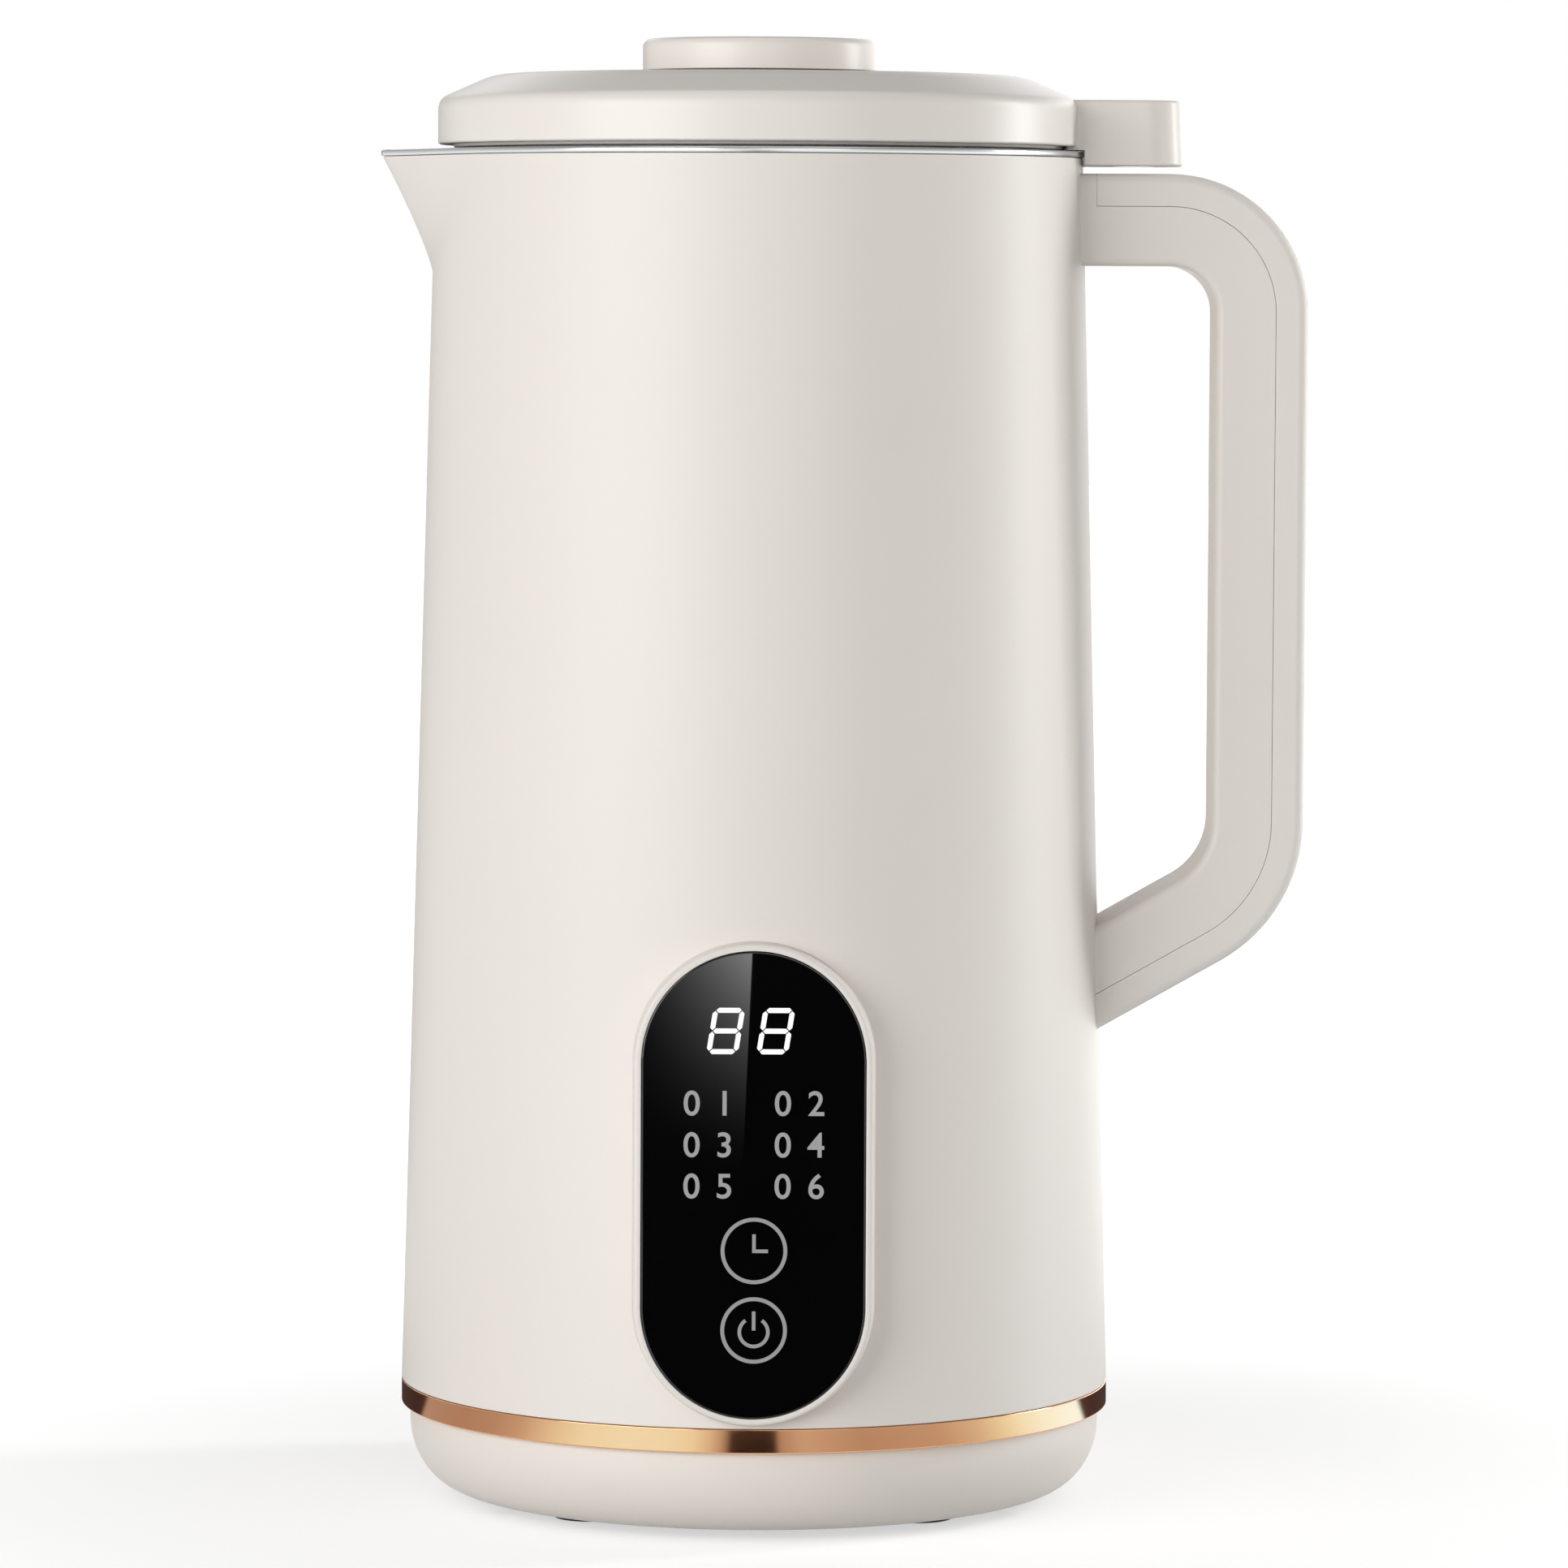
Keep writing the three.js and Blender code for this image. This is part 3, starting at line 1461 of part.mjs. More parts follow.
/** The strip of the handle between two depths under its outer side, from an upper start to its root. */
function handle_strip(outer, inner, start) {
  const root = (depth) => [handle_root, lower_arm_height(depth, handle_root)];
  const shape = new THREE.Shape();
  shape.absarc(upper_corner.x, upper_corner.y, handle_upper_corner - outer, Math.PI / 2, 0, true);
  shape.absarc(lower_corner.x, lower_corner.y, handle_lower_corner - outer, 0, lower_end_turn, true);
  shape.lineTo(...root(outer));
  shape.lineTo(...root(inner));
  shape.absarc(lower_corner.x, lower_corner.y, handle_lower_corner - inner, lower_end_turn, 0, false);
  shape.absarc(upper_corner.x, upper_corner.y, handle_upper_corner - inner, 0, Math.PI / 2, false);
  shape.lineTo(start, handle_top - inner);
  shape.lineTo(start, handle_top - outer);
  shape.closePath();
  return shape;
}

function whole_handle() {
  const half = handle_width / 2;
  return upright(soft_prism(
    handle_strip(0, handle_bar, handle_root),
    -half,
    half,
    handle_edge,
    handle_edge_steps,
    handle_arc_steps,
  ));
}

function handle_cover() {
  const strip = upright(prism(
    handle_strip(-overrun, handle_cover_thickness, handle_cover_start),
    -handle_width,
    handle_width,
    handle_arc_steps,
  ));
  return cut(common(whole_handle(), strip), shell_cone(fit_gap));
}

function handle_screw(height) {
  const top = handle_screw_head_height + handle_screw_length;
  const upright_screw = turned([
    [0, 0],
    [handle_screw_head_radius, 0],
    [handle_screw_head_radius, handle_screw_head_height],
    [handle_screw_radius, handle_screw_head_height],
    [handle_screw_radius, top],
    [0, top],
  ], small_steps);
  return along_x(upright_screw, height).translate(screw_seat(height) - handle_screw_head_height, 0, 0);
}

function handle_inner() {
  const strip = upright(prism(
    handle_strip(-overrun, handle_cover_thickness + handle_seam, handle_cover_start - handle_seam),
    -handle_width,
    handle_width,
    handle_arc_steps,
  ));
  const screw_holes = handle_screw_heights.map((height) => along_x(rod(
    handle_screw_radius + fit_gap,
    handle_root,
    screw_seat(height) + handle_screw_length + fit_gap,
    small_steps,
  ), height));
  const pocket = block(
    lid_switch_size.x + 2 * fit_gap,
    lid_switch_size.y + 2 * fit_gap,
    lid_switch_bottom - fit_gap,
    handle_top,
    lid_switch_start + lid_switch_size.x / 2,
    0,
  );
  return cut(whole_handle(), strip, shell_cone(fit_gap), ...screw_holes, pocket);
}

const lid_switch_top = handle_top - handle_cover_thickness - handle_seam - lid_switch_sink;
const lid_switch_bottom = lid_switch_top - lid_switch_size.z;

function lid_switch() {
  return block(
    lid_switch_size.x,
    lid_switch_size.y,
    lid_switch_bottom,
    lid_switch_top,
    lid_switch_start + lid_switch_size.x / 2,
    0,
  );
}

// Lid

const lid_chamfer_slope = (lid_crown_height - lid_shoulder_height) / (lid_shoulder_radius - lid_crown_radius);
const lid_crown_slope = (lid_centre_height - lid_crown_height) / (lid_crown_radius - lid_hole_radius);
const lid_inner_radius = lid_radius - lid_wall;
const lid_inner_shoulder = lid_shoulder_height - lid_wall;
const lid_inner_crown = lid_crown_height - lid_wall;
const tab_bottom = lid_bottom - tab_drop;
const tab_top = lid_bottom + tab_top_height;

/** Points of a smooth bend from one [radius, height] pair to another, past a corner. */
function bend(from, corner, to) {
  const curve = new THREE.QuadraticBezierCurve(
    new THREE.Vector2(...from), new THREE.Vector2(...corner), new THREE.Vector2(...to),
  );
  return curve.getPoints(2).map(({ x, y }) => [x, y]);
}

/** Height of the lid's underside above its lower edge, at a radius on the sloping part. */
function lid_underside(radius) {
  const share = (lid_inner_radius - radius) / (lid_inner_radius - lid_crown_radius);
  return lerp(lid_inner_shoulder, lid_inner_crown, Math.min(share, 1));
}

/** End tab over the handle, with its finger corners rounded in plan. */
function lid_tab() {
  const half = tab_width / 2;
  const shape = new THREE.Shape();
  shape.absarc(tab_reach - tab_corner, tab_corner - half, tab_corner, -Math.PI / 2, 0, false);
  shape.absarc(tab_reach - tab_corner, half - tab_corner, tab_corner, 0, Math.PI / 2, false);
  shape.lineTo(lid_inner_radius - tab_edge, half);
  shape.lineTo(lid_inner_radius - tab_edge, -half);
  shape.closePath();
  return cut(
    soft_prism(shape, tab_bottom, tab_top, tab_edge, 1),
    rod(lid_inner_radius, lid_bottom - overrun, lid_bottom + lid_inner_shoulder, large_steps),
    rod(shell_top_radius + tab_rim_clearance, tab_bottom - overrun, lid_bottom, large_steps),
  );
}

function lid_cover() {
  const band_top = lid_bottom + lid_band_height;
  const shoulder = [lid_shoulder_radius, lid_bottom + lid_shoulder_height];
  const shoulder_corner = [
    lid_radius, shoulder[1] - lid_chamfer_slope * (lid_radius - lid_shoulder_radius),
  ];
  const crown_corner = [lid_crown_radius, lid_bottom + lid_crown_height];
  const crown_start = [
    lid_crown_radius + lid_crown_bend, crown_corner[1] - lid_chamfer_slope * lid_crown_bend,
  ];
  const crown_end = [
    lid_crown_radius - lid_crown_bend, crown_corner[1] + lid_crown_slope * lid_crown_bend,
  ];
  const dome = turned([
    [lid_inner_radius, lid_bottom],
    [lid_radius - lid_edge, lid_bottom],
    [lid_radius, lid_bottom + lid_edge],
    ...bend([lid_radius, band_top], shoulder_corner, shoulder),
    ...bend(crown_start, crown_corner, crown_end),
    [lid_hole_radius, lid_bottom + lid_centre_height],
    [lid_hole_radius, lid_bottom + lid_centre_height - lid_wall],
    [lid_crown_radius, lid_bottom + lid_inner_crown],
    [lid_inner_radius, lid_bottom + lid_inner_shoulder],
  ], large_steps);
  const magnet_hole = rod(
    magnet_radius + fit_gap,
    tab_bottom - overrun,
    tab_bottom + magnet_height + fit_gap,
    small_steps,
  ).translate(magnet_circle, 0, 0);
  return cut(join(dome, lid_tab()), magnet_hole);
}

function tab_magnet() {
  return rod(magnet_radius, tab_bottom, tab_bottom + magnet_height, small_steps)
    .translate(magnet_circle, 0, 0);
}

const liner_bottom = lid_bottom - liner_drop;
const gasket_bottom = liner_bottom + gasket_start;
const gasket_top = gasket_bottom + gasket_height;

/** Tray under the lid: it hangs in the pot's mouth and rests on the rim by its flange. */
function lid_liner() {
  const rib_radius = liner_radius + liner_rib;
  const flange_bottom = rim_top + fit_gap;
  const wall_top = lid_bottom + lid_underside(liner_radius) - fit_gap;
  const collar_top = lid_bottom + lid_centre_height - lid_wall - fit_gap;
  const collar_radius = lid_hole_radius + liner_wall;
  return turned([
    [lid_hole_radius, liner_bottom],
    [liner_radius - liner_corner, liner_bottom],
    [liner_radius, liner_bottom + liner_corner],
    [liner_radius, gasket_bottom - liner_rib_height],
    [rib_radius, gasket_bottom - liner_rib_height],
    [rib_radius, gasket_bottom],
    [liner_radius, gasket_bottom],
    [liner_radius, gasket_top],
    [rib_radius, gasket_top],
    [rib_radius, gasket_top + liner_rib_height],
    [liner_radius, gasket_top + liner_rib_height],
    [liner_radius, flange_bottom],
    [liner_flange_radius, flange_bottom],
    [liner_flange_radius, flange_bottom + liner_flange_height],
    [liner_radius, flange_bottom + liner_flange_height],
    [liner_radius, wall_top],
    [liner_radius - liner_wall, wall_top],
    [liner_radius - liner_wall, liner_bottom + liner_wall],
    [collar_radius, liner_bottom + liner_wall],
    [collar_radius, collar_top],
    [lid_hole_radius, collar_top],
  ], middle_steps);
}

/** Silicone ring with two lips, between the liner's ribs. */
function lid_gasket() {
  const inner = liner_radius + fit_gap;
  const outer = pot_radius(gasket_bottom) - gasket_wall_gap;
  const valley = (inner + outer) / 2;
  const lip = gasket_height / 4;
  return turned([
    [inner, gasket_bottom],
    [valley, gasket_bottom],
    [outer, gasket_bottom + lip],
    [valley, gasket_bottom + 2 * lip],
    [outer, gasket_bottom + 3 * lip],
    [valley, gasket_top],
    [inner, gasket_top],
  ], middle_steps);
}

// Vent cap

const cap_neck_bottom = cap_bottom - cap_neck_length;
const cap_seal_bottom = cap_neck_bottom + cap_seal_above_end;
const cap_seal_top = cap_seal_bottom + cap_seal_height;

/** Round knob on a hollow neck. Four slots in the neck let the steam out under the knob. */
function vent_cap() {
  const groove = cap_neck_radius - cap_seal_groove;
  const neck_inner = cap_neck_radius - cap_neck_wall;
  const edge_corner = [cap_radius, cap_top];
  const body = turned([
    [neck_inner, cap_neck_bottom],
    [cap_neck_radius, cap_neck_bottom],
    [cap_neck_radius, cap_seal_bottom],
    [groove, cap_seal_bottom],
    [groove, cap_seal_top],
    [cap_neck_radius, cap_seal_top],
    [cap_neck_radius, cap_bottom],
    [cap_radius, cap_bottom],
    ...bend([cap_radius, cap_top - cap_edge], edge_corner, [cap_radius - cap_edge, cap_top]),
    [0, cap_top],
    [0, cap_top - cap_wall],
    [neck_inner, cap_top - cap_wall],
  ], middle_steps);
  const slot_bottom = cap_seal_top + (cap_bottom - cap_seal_top - cap_slot_height) / 2;
  const slot = block(
    2 * cap_neck_wall + cap_slot_width,
    cap_slot_width,
    slot_bottom,
    slot_bottom + cap_slot_height,
    cap_neck_radius,
    0,
  );
  return cut(body, ...around(cap_slot_count, slot, Math.PI / 4));
}

function cap_seal() {
  return tube(
    lid_hole_radius - fit_gap,
    cap_neck_radius - cap_seal_groove + running_gap,
    cap_seal_bottom,
    cap_seal_top,
    middle_steps,
  );
}

// The whole object, with its box centred over the origin

const front_reach = shell_radius(panel_height) + bezel_stand
  + (glass_height / 2 + bezel_rim - bezel_edge) * Math.sin(shell_lean);
const back_reach = shell_radius(inlet_height_above) + inlet_stand
  + (inlet_flange_height / 2) * Math.sin(shell_lean);

const model = new THREE.Group();
model.position.set(
  (beak_reach + rim_bead_overhang - handle_reach) / 2, (front_reach - back_reach) / 2, 0,
);

function add(name, geometry, material, parent = model) {
  const mesh = new THREE.Mesh(geometry, material);
  mesh.name = name;
  parent.add(mesh);
  return mesh;
}

add('outer_shell', outer_shell(), cream_plastic());
add('pot', pot(), pot_steel());
add('trim_ring', trim_ring(), rose_gold());
add('base_cup', base_cup(), cream_plastic());
for (let i = 0; i < foot_count; i += 1) {
  const turn = (2 * Math.PI * (i + 0.5)) / foot_count;
  const place = new THREE.Vector3(foot_circle * Math.cos(turn), foot_circle * Math.sin(turn), 0);
  add(`foot_${i + 1}`, foot(), black_rubber()).position.copy(place);
}

add('heater_plate', heater_plate(), cast_aluminium());
add('heater_tube', heater_tube(), plated_steel());
add('temperature_probe', temperature_probe(), plated_steel());
add('thermostat', thermostat(), black_plastic());
add('blade_seat', blade_seat(), blade_steel());
add('seat_nut', seat_nut(), plated_steel());
add('shaft_bush', shaft_bush(), sintered_bronze());
add('shaft_seal', shaft_seal(), black_rubber());

add('shaft', shaft(), bearing_steel());
add('blade', blade(), blade_steel());
add('blade_nut', blade_nut(), blade_steel());
add('cooling_fan', cooling_fan(), nylon_fan());
add('commutator', commutator(), commutator_copper());
add('armature_core', armature_core(), lamination());
add('armature_winding', armature_winding(), copper_wire());

add('lower_shield', lower_shield(), black_plastic());
add('upper_shield', upper_shield(), cast_aluminium());
add('lower_bearing', bearing(lower_shield_bottom + bearing_lip), bearing_steel());
add('upper_bearing', bearing(upper_shield_top - bearing_lip - bearing_height), bearing_steel());
add('stator', stator(), lamination());
[['left', -1], ['right', 1]].forEach(([name, side]) => {
  add(`field_coil_${name}`, field_coil(side), copper_wire());
  add(`brush_${name}`, brush(side), carbon());
  add(`brush_holder_${name}`, brush_holder(side), sintered_bronze());
});
bolt_places.forEach((y, i) => {
  add(`motor_bolt_${i + 1}`, motor_bolt(y), plated_steel());
  add(`motor_damper_${i + 1}`, damper(y), black_rubber());
});
add('motor_spider', motor_spider(), grey_plastic());

add('power_board', power_board(), circuit_green());
add('relay', relay(), relay_blue());

model.add(panel_place.frame, inlet_place.frame);
add('panel_bezel', panel_bezel(), cream_plastic(), panel_place.lean);
add('panel_glass', panel_glass(), black_glass(), panel_place.lean);
add('display_board', display_board(), circuit_green(), panel_place.lean);
add('display_module', display_module(), grey_plastic(), panel_place.lean);
add('power_inlet', power_inlet(), black_plastic(), inlet_place.lean);
for (const [name, x, y] of inlet_pins) add(name, inlet_pin(x, y), plated_steel(), inlet_place.lean);

add('handle_inner', handle_inner(), cream_plastic());
add('handle_cover', handle_cover(), cream_plastic());
add('lid_switch', lid_switch(), black_plastic());
add('handle_screw_upper', handle_screw(handle_screw_heights[0]), plated_steel());
add('handle_screw_lower', handle_screw(handle_screw_heights[1]), plated_steel());

add('lid_cover', lid_cover(), cream_plastic());
add('tab_magnet', tab_magnet(), magnet_nickel());
add('lid_liner', lid_liner(), liner_plastic());
add('lid_gasket', lid_gasket(), clear_silicone());
add('vent_cap', vent_cap(), cream_plastic());
add('cap_seal', cap_seal(), clear_silicone());

export default model;
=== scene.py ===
"""The soy milk maker's looks: smooth pieces, finishes, panel markings and studio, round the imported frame."""

import json
import math

import bmesh
import bpy
from mathutils import Matrix, Vector


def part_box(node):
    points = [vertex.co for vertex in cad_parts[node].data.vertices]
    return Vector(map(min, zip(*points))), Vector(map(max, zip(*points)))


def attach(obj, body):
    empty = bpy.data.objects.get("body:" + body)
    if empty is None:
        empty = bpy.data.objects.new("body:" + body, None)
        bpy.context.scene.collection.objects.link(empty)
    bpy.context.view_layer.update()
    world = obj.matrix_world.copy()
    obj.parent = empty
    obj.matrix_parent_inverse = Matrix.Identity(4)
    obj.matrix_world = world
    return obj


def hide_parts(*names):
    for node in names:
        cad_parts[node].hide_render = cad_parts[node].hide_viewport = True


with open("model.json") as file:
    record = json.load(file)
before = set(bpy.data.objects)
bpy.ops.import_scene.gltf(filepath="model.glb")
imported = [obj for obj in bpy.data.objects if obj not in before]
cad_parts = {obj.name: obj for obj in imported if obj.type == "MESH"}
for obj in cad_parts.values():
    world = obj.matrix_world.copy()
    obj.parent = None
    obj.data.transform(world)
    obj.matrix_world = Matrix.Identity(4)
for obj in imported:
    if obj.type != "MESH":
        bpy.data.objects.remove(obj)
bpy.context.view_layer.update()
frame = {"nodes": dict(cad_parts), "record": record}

MM = 0.001


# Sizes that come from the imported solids, in millimetres and in heights above the worktop

def round_size(node):
    """Radius, foot and top of a round solid, in millimetres."""
    low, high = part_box(node)
    return (high.y - low.y) / 2 / MM, low.z / MM, high.z / MM


def middle_of(node):
    low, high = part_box(node)
    return (low + high) / 2 / MM


RING_MIDDLE = middle_of("trim_ring")
AXIS = Vector((RING_MIDDLE.x, RING_MIDDLE.y, 0))


def beside_axis(node):
    """Where a solid stands beside the jug's axis, in millimetres."""
    place = middle_of(node) - AXIS
    return place.x, place.y


BASE_RADIUS, BASE_BOTTOM, _ = round_size("base_cup")
SHELL_FOOT_RADIUS, TRIM_BOTTOM, _ = round_size("trim_ring")
LID_RADIUS, TAB_BOTTOM, _ = round_size("lid_cover")
FOOT_RADIUS, _, FOOT_TOP = round_size("foot_1")
MAGNET_RADIUS, _, _ = round_size("tab_magnet")
KNOB_RADIUS, _, KNOB_TOP = round_size("vent_cap")
FOOT_PLACES = [beside_axis(f"foot_{number}") for number in (1, 2, 3, 4)]
MAGNET_PLACE = beside_axis("tab_magnet")
HANDLE_LOW, HANDLE_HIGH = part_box("handle_cover")
HANDLE_TOP = HANDLE_HIGH.z / MM
HANDLE_REACH = HANDLE_HIGH.x / MM - AXIS.x
HANDLE_WIDTH = (HANDLE_HIGH.y - HANDLE_LOW.y) / MM

# Sizes of the jug's shell, of its beak, of the pot with its rolled rim, and of the lid over them
SHELL_BOTTOM = 20.6
SHELL_TOP = 235.08
SHELL_TOP_RADIUS = 56.5
SHELL_WALL = 2.4
RIM_BOTTOM = 235.12
RIM_TOP = 236.2
BEAK_START = 214.8
BEAK_REACH = 65.85
BEAK_NOSE = 4.0
BEAK_DIP = 0.1
BEAK_POWER = 1.15
BEAK_CROWDING = 0.6
POT_FLOOR = 100.9
POT_FOOT_RADIUS = 46.5
POT_MOUTH_RADIUS = 50.0
POT_CORNER = 9.0
POT_WALL = 0.8
POT_HOLE_RADIUS = 9.0
POT_BEAK_GAP = 0.6
LID_RISE = 3.3
LID_BOTTOM = TAB_BOTTOM + LID_RISE


def point(x, y, z):
    """A place in metres from millimetres beside the jug's axis."""
    return Vector((x + AXIS.x, y + AXIS.y, z)) * MM


# The camera of the photograph

CAMERA_LENS = 168.8
CAMERA_FILM = 36
CAMERA_PLACE = (4.818, -1289.762, 216.148)
CAMERA_LOOKS_DOWN = 4.03
CAMERA_ROLLS = 0.27


def add_camera():
    lens = bpy.data.cameras.new("photo_camera")
    lens.lens = CAMERA_LENS
    lens.sensor_width = CAMERA_FILM
    lens.clip_start, lens.clip_end = 0.05, 50
    camera = bpy.data.objects.new("photo_camera", lens)
    bpy.context.scene.collection.objects.link(camera)
    down = Matrix.Rotation(math.radians(90 - CAMERA_LOOKS_DOWN), 4, "X")
    roll = Matrix.Rotation(math.radians(CAMERA_ROLLS), 4, "Z")
    camera.matrix_world = Matrix.Translation(point(*CAMERA_PLACE)) @ down @ roll
    bpy.context.scene.camera = camera


add_camera()


# Finishes

class Value:
    """A number or colour that varies from place to place, with sums written as in Python."""

    def __init__(self, nodes, socket):
        self.nodes = nodes
        self.socket = socket

    def sum_of(self, operation, first, second):
        return self.nodes.value("ShaderNodeMath", {"operation": operation}, {0: first, 1: second})

    def __add__(self, other):
        return self.sum_of("ADD", self, other)

    __radd__ = __add__

    def __mul__(self, other):
        return self.sum_of("MULTIPLY", self, other)

    __rmul__ = __mul__

    def __sub__(self, other):
        return self.sum_of("SUBTRACT", self, other)

    def __rsub__(self, other):
        return self.sum_of("SUBTRACT", other, self)


class Nodes:
    """The nodes of a finish or of the world."""

    def __init__(self, tree):
        self.tree = tree

    def node(self, kind, settings, inputs):
        """One node: its settings first, then a value or a link for each of its sockets."""
        node = self.tree.nodes.new(kind)
        for name, setting in settings.items():
            if name == "stops":
                self.set_stops(node.color_ramp.elements, setting)
            else:
                setattr(node, name, setting)
        for socket, value in inputs.items():
            if isinstance(value, Value):
                self.link(value, node, socket)
            else:
                node.inputs[socket].default_value = value
        return node

    def set_stops(self, stops, wanted):
        while len(stops) < len(wanted):
            stops.new(1.0)
        for stop, (position, colour) in zip(stops, wanted):
            stop.position = position
            stop.color = (*colour, 1)

    def value(self, kind, settings, inputs, output=0):
        return Value(self, self.node(kind, settings, inputs).outputs[output])

    def link(self, value, node, socket):
        self.tree.links.new(value.socket, node.inputs[socket])

    def ranged(self, value, start, end, low=0.0, high=1.0, **settings):
        """A number that goes from low to high while another goes from start to end."""
        return self.value("ShaderNodeMapRange", settings, {
            "Value": value, "From Min": start, "From Max": end, "To Min": low, "To Max": high,
        })

    def parts(self, vector):
        """The three numbers of a vector."""
        split = self.node("ShaderNodeSeparateXYZ", {}, {0: vector})
        return [Value(self, output) for output in split.outputs]

    def ray(self, kind):
        """1 for rays of one kind, and 0 for all others."""
        return self.value("ShaderNodeLightPath", {}, {}, kind)


class Finish(Nodes):
    """A material with its shader, and the nodes that vary it over a surface."""

    def __init__(self, name, colour, **constants):
        self.material = bpy.data.materials.new(name)
        self.material.use_nodes = True
        super().__init__(self.material.node_tree)
        self.shader = self.tree.nodes["Principled BSDF"]
        self.colour = colour
        self.shader.inputs["Base Color"].default_value = (*colour, 1)
        for socket, value in constants.items():
            self.shader.inputs[socket.replace("_", " ")].default_value = value
        self.place = self.value("ShaderNodeTexCoord", {}, {}, "Object")

    def noise(self, scale, stretch=(1, 1, 1), detail=2.0, roughness=0.5):
        stretched = self.value("ShaderNodeMapping", {}, {"Vector": self.place, "Scale": stretch})
        return self.value("ShaderNodeTexNoise", {}, {
            "Vector": stretched, "Scale": scale, "Detail": detail, "Roughness": roughness,
        })

    def blend(self, pattern, first, second):
        """A colour that wanders between two others with a pattern."""
        return self.value("ShaderNodeMix", {"data_type": "RGBA"}, {
            "Factor": pattern, 6: (*first, 1), 7: (*second, 1),
        }, 2)

    def feed(self, socket, value):
        self.link(value, self.shader, socket)

    def vary_colour(self, pattern, other):
        self.feed("Base Color", self.blend(pattern, self.colour, other))

    def emboss(self, height, distance, strength):
        """Raises the surface with a pattern, by a distance in millimetres."""
        self.feed("Normal", self.value("ShaderNodeBump", {}, {
            "Height": height, "Distance": distance * MM, "Strength": strength,
        }, "Normal"))


def srgb(red, green, blue):
    """Scene colour of a screen colour given from 0 to 255."""
    def linear(part):
        share = part / 255
        return share / 12.92 if share <= 0.04045 else ((share + 0.055) / 1.055) ** 2.4
    return tuple(linear(part) for part in (red, green, blue))


def dimmed(colour, share):
    return tuple(share * part for part in colour)


def moulded_plastic(name, colour, roughness, grain, depth, spread=0.08):
    """Moulded plastic: a fine grain in its gloss and surface, and a faint drift of its colour."""
    finish = Finish(name, srgb(*colour))
    finish.vary_colour(finish.noise(18, detail=3.0), dimmed(finish.colour, 0.965))
    fine = finish.noise(grain, detail=2.0, roughness=0.6)
    finish.feed("Roughness", roughness - spread / 2 + spread * fine)
    finish.emboss(fine, depth, 0.5)
    return finish.material


def metal(name, colour, roughness, stretch, scale, depth, streak=0.08):
    """Bare metal with the fine lines that turning, drawing or grinding leaves."""
    finish = Finish(name, srgb(*colour), Metallic=1.0)
    lines = finish.noise(scale, stretch, detail=3.0, roughness=0.6)
    finish.vary_colour(lines, dimmed(finish.colour, 0.93))
    finish.feed("Roughness", roughness - streak / 2 + streak * lines)
    finish.emboss(lines, depth, 0.4)
    return finish.material


def lit_print(name, colour):
    """Lit print behind the glass, a little uneven as a diffuser is."""
    finish = Finish(name, (0.01, 0.01, 0.01), Roughness=0.6, Emission_Strength=1.0)
    glow = srgb(*colour)
    finish.feed("Emission Color", finish.blend(finish.noise(900, detail=1.0), glow, dimmed(glow, 0.93)))
    return finish.material


def panel_glass():
    """Polished glass, printed black from behind, with the slight waviness of float glass."""
    finish = Finish("black panel glass", srgb(5, 5, 6))
    waves = finish.noise(40, detail=1.0)
    finish.vary_colour(waves, srgb(8, 8, 9))
    finish.feed("Roughness", 0.004 + 0.008 * waves)
    return finish.material


# Each plastic's screen colour, roughness, grains to the metre and their depth in millimetres
PLASTICS = {
    "cream_plastic": ((234, 228, 221), 0.46, 2600, 0.005),
    "liner_plastic": ((229, 227, 222), 0.5, 2200, 0.008),
    "black_plastic": ((34, 34, 36), 0.52, 1800, 0.015),
    "grey_plastic": ((140, 143, 145), 0.55, 1800, 0.015),
    "nylon": ((214, 211, 204), 0.5, 1600, 0.012),
    "carbon": ((42, 42, 45), 0.65, 2500, 0.03),
    "circuit_board": ((30, 88, 58), 0.45, 1200, 0.01),
    "relay_blue": ((46, 82, 126), 0.45, 1500, 0.01),
    "black_rubber": ((40, 40, 42), 0.82, 1600, 0.03),
    "silicone": ((222, 220, 214), 0.38, 1400, 0.01),
}
# Each metal's screen colour, roughness, how its lines are squeezed along the three axes, lines to the
# metre, their depth in millimetres and how much the roughness wanders between them
METALS = {
    "rose_gold": ((226, 172, 128), 0.09, (1, 1, 30), 300, 0.001, 0.04),
    "pot_steel": ((200, 201, 202), 0.24, (1, 1, 60), 60, 0.0015, 0.06),
    "blade_steel": ((205, 206, 208), 0.2, (1, 40, 1), 120, 0.003),
    "plated_steel": ((176, 179, 184), 0.36, (1, 1, 1), 900, 0.01, 0.12),
    "bearing_steel": ((172, 176, 180), 0.25, (1, 1, 50), 200, 0.003),
    "cast_aluminium": ((184, 186, 188), 0.5, (1, 1, 1), 1200, 0.03, 0.16),
    "lamination": ((120, 122, 126), 0.45, (1, 1, 40), 180, 0.05, 0.12),
    "copper_wire": ((186, 108, 62), 0.36, (1, 1, 30), 260, 0.12, 0.12),
    "commutator_copper": ((200, 126, 82), 0.3, (1, 1, 50), 220, 0.004),
    "bronze": ((168, 128, 74), 0.48, (1, 1, 1), 1500, 0.02, 0.12),
    "magnet_nickel": ((190, 189, 184), 0.22, (1, 1, 1), 800, 0.003),
}
FINISHES = {
    **{slot: moulded_plastic(slot, *looks) for slot, looks in PLASTICS.items()},
    **{slot: metal(slot, *looks) for slot, looks in METALS.items()},
    "black_glass": panel_glass(),
}
LID_PLASTIC = moulded_plastic("satin cream plastic", (235, 229, 222), 0.36, 2600, 0.004)
LIT_DIGIT = lit_print("lit digit", (255, 255, 255))
LIT_LABEL = lit_print("dim label", (150, 150, 150))
LIT_KEY = lit_print("dim key ring", (142, 142, 142))


# Modelling by hand, in code

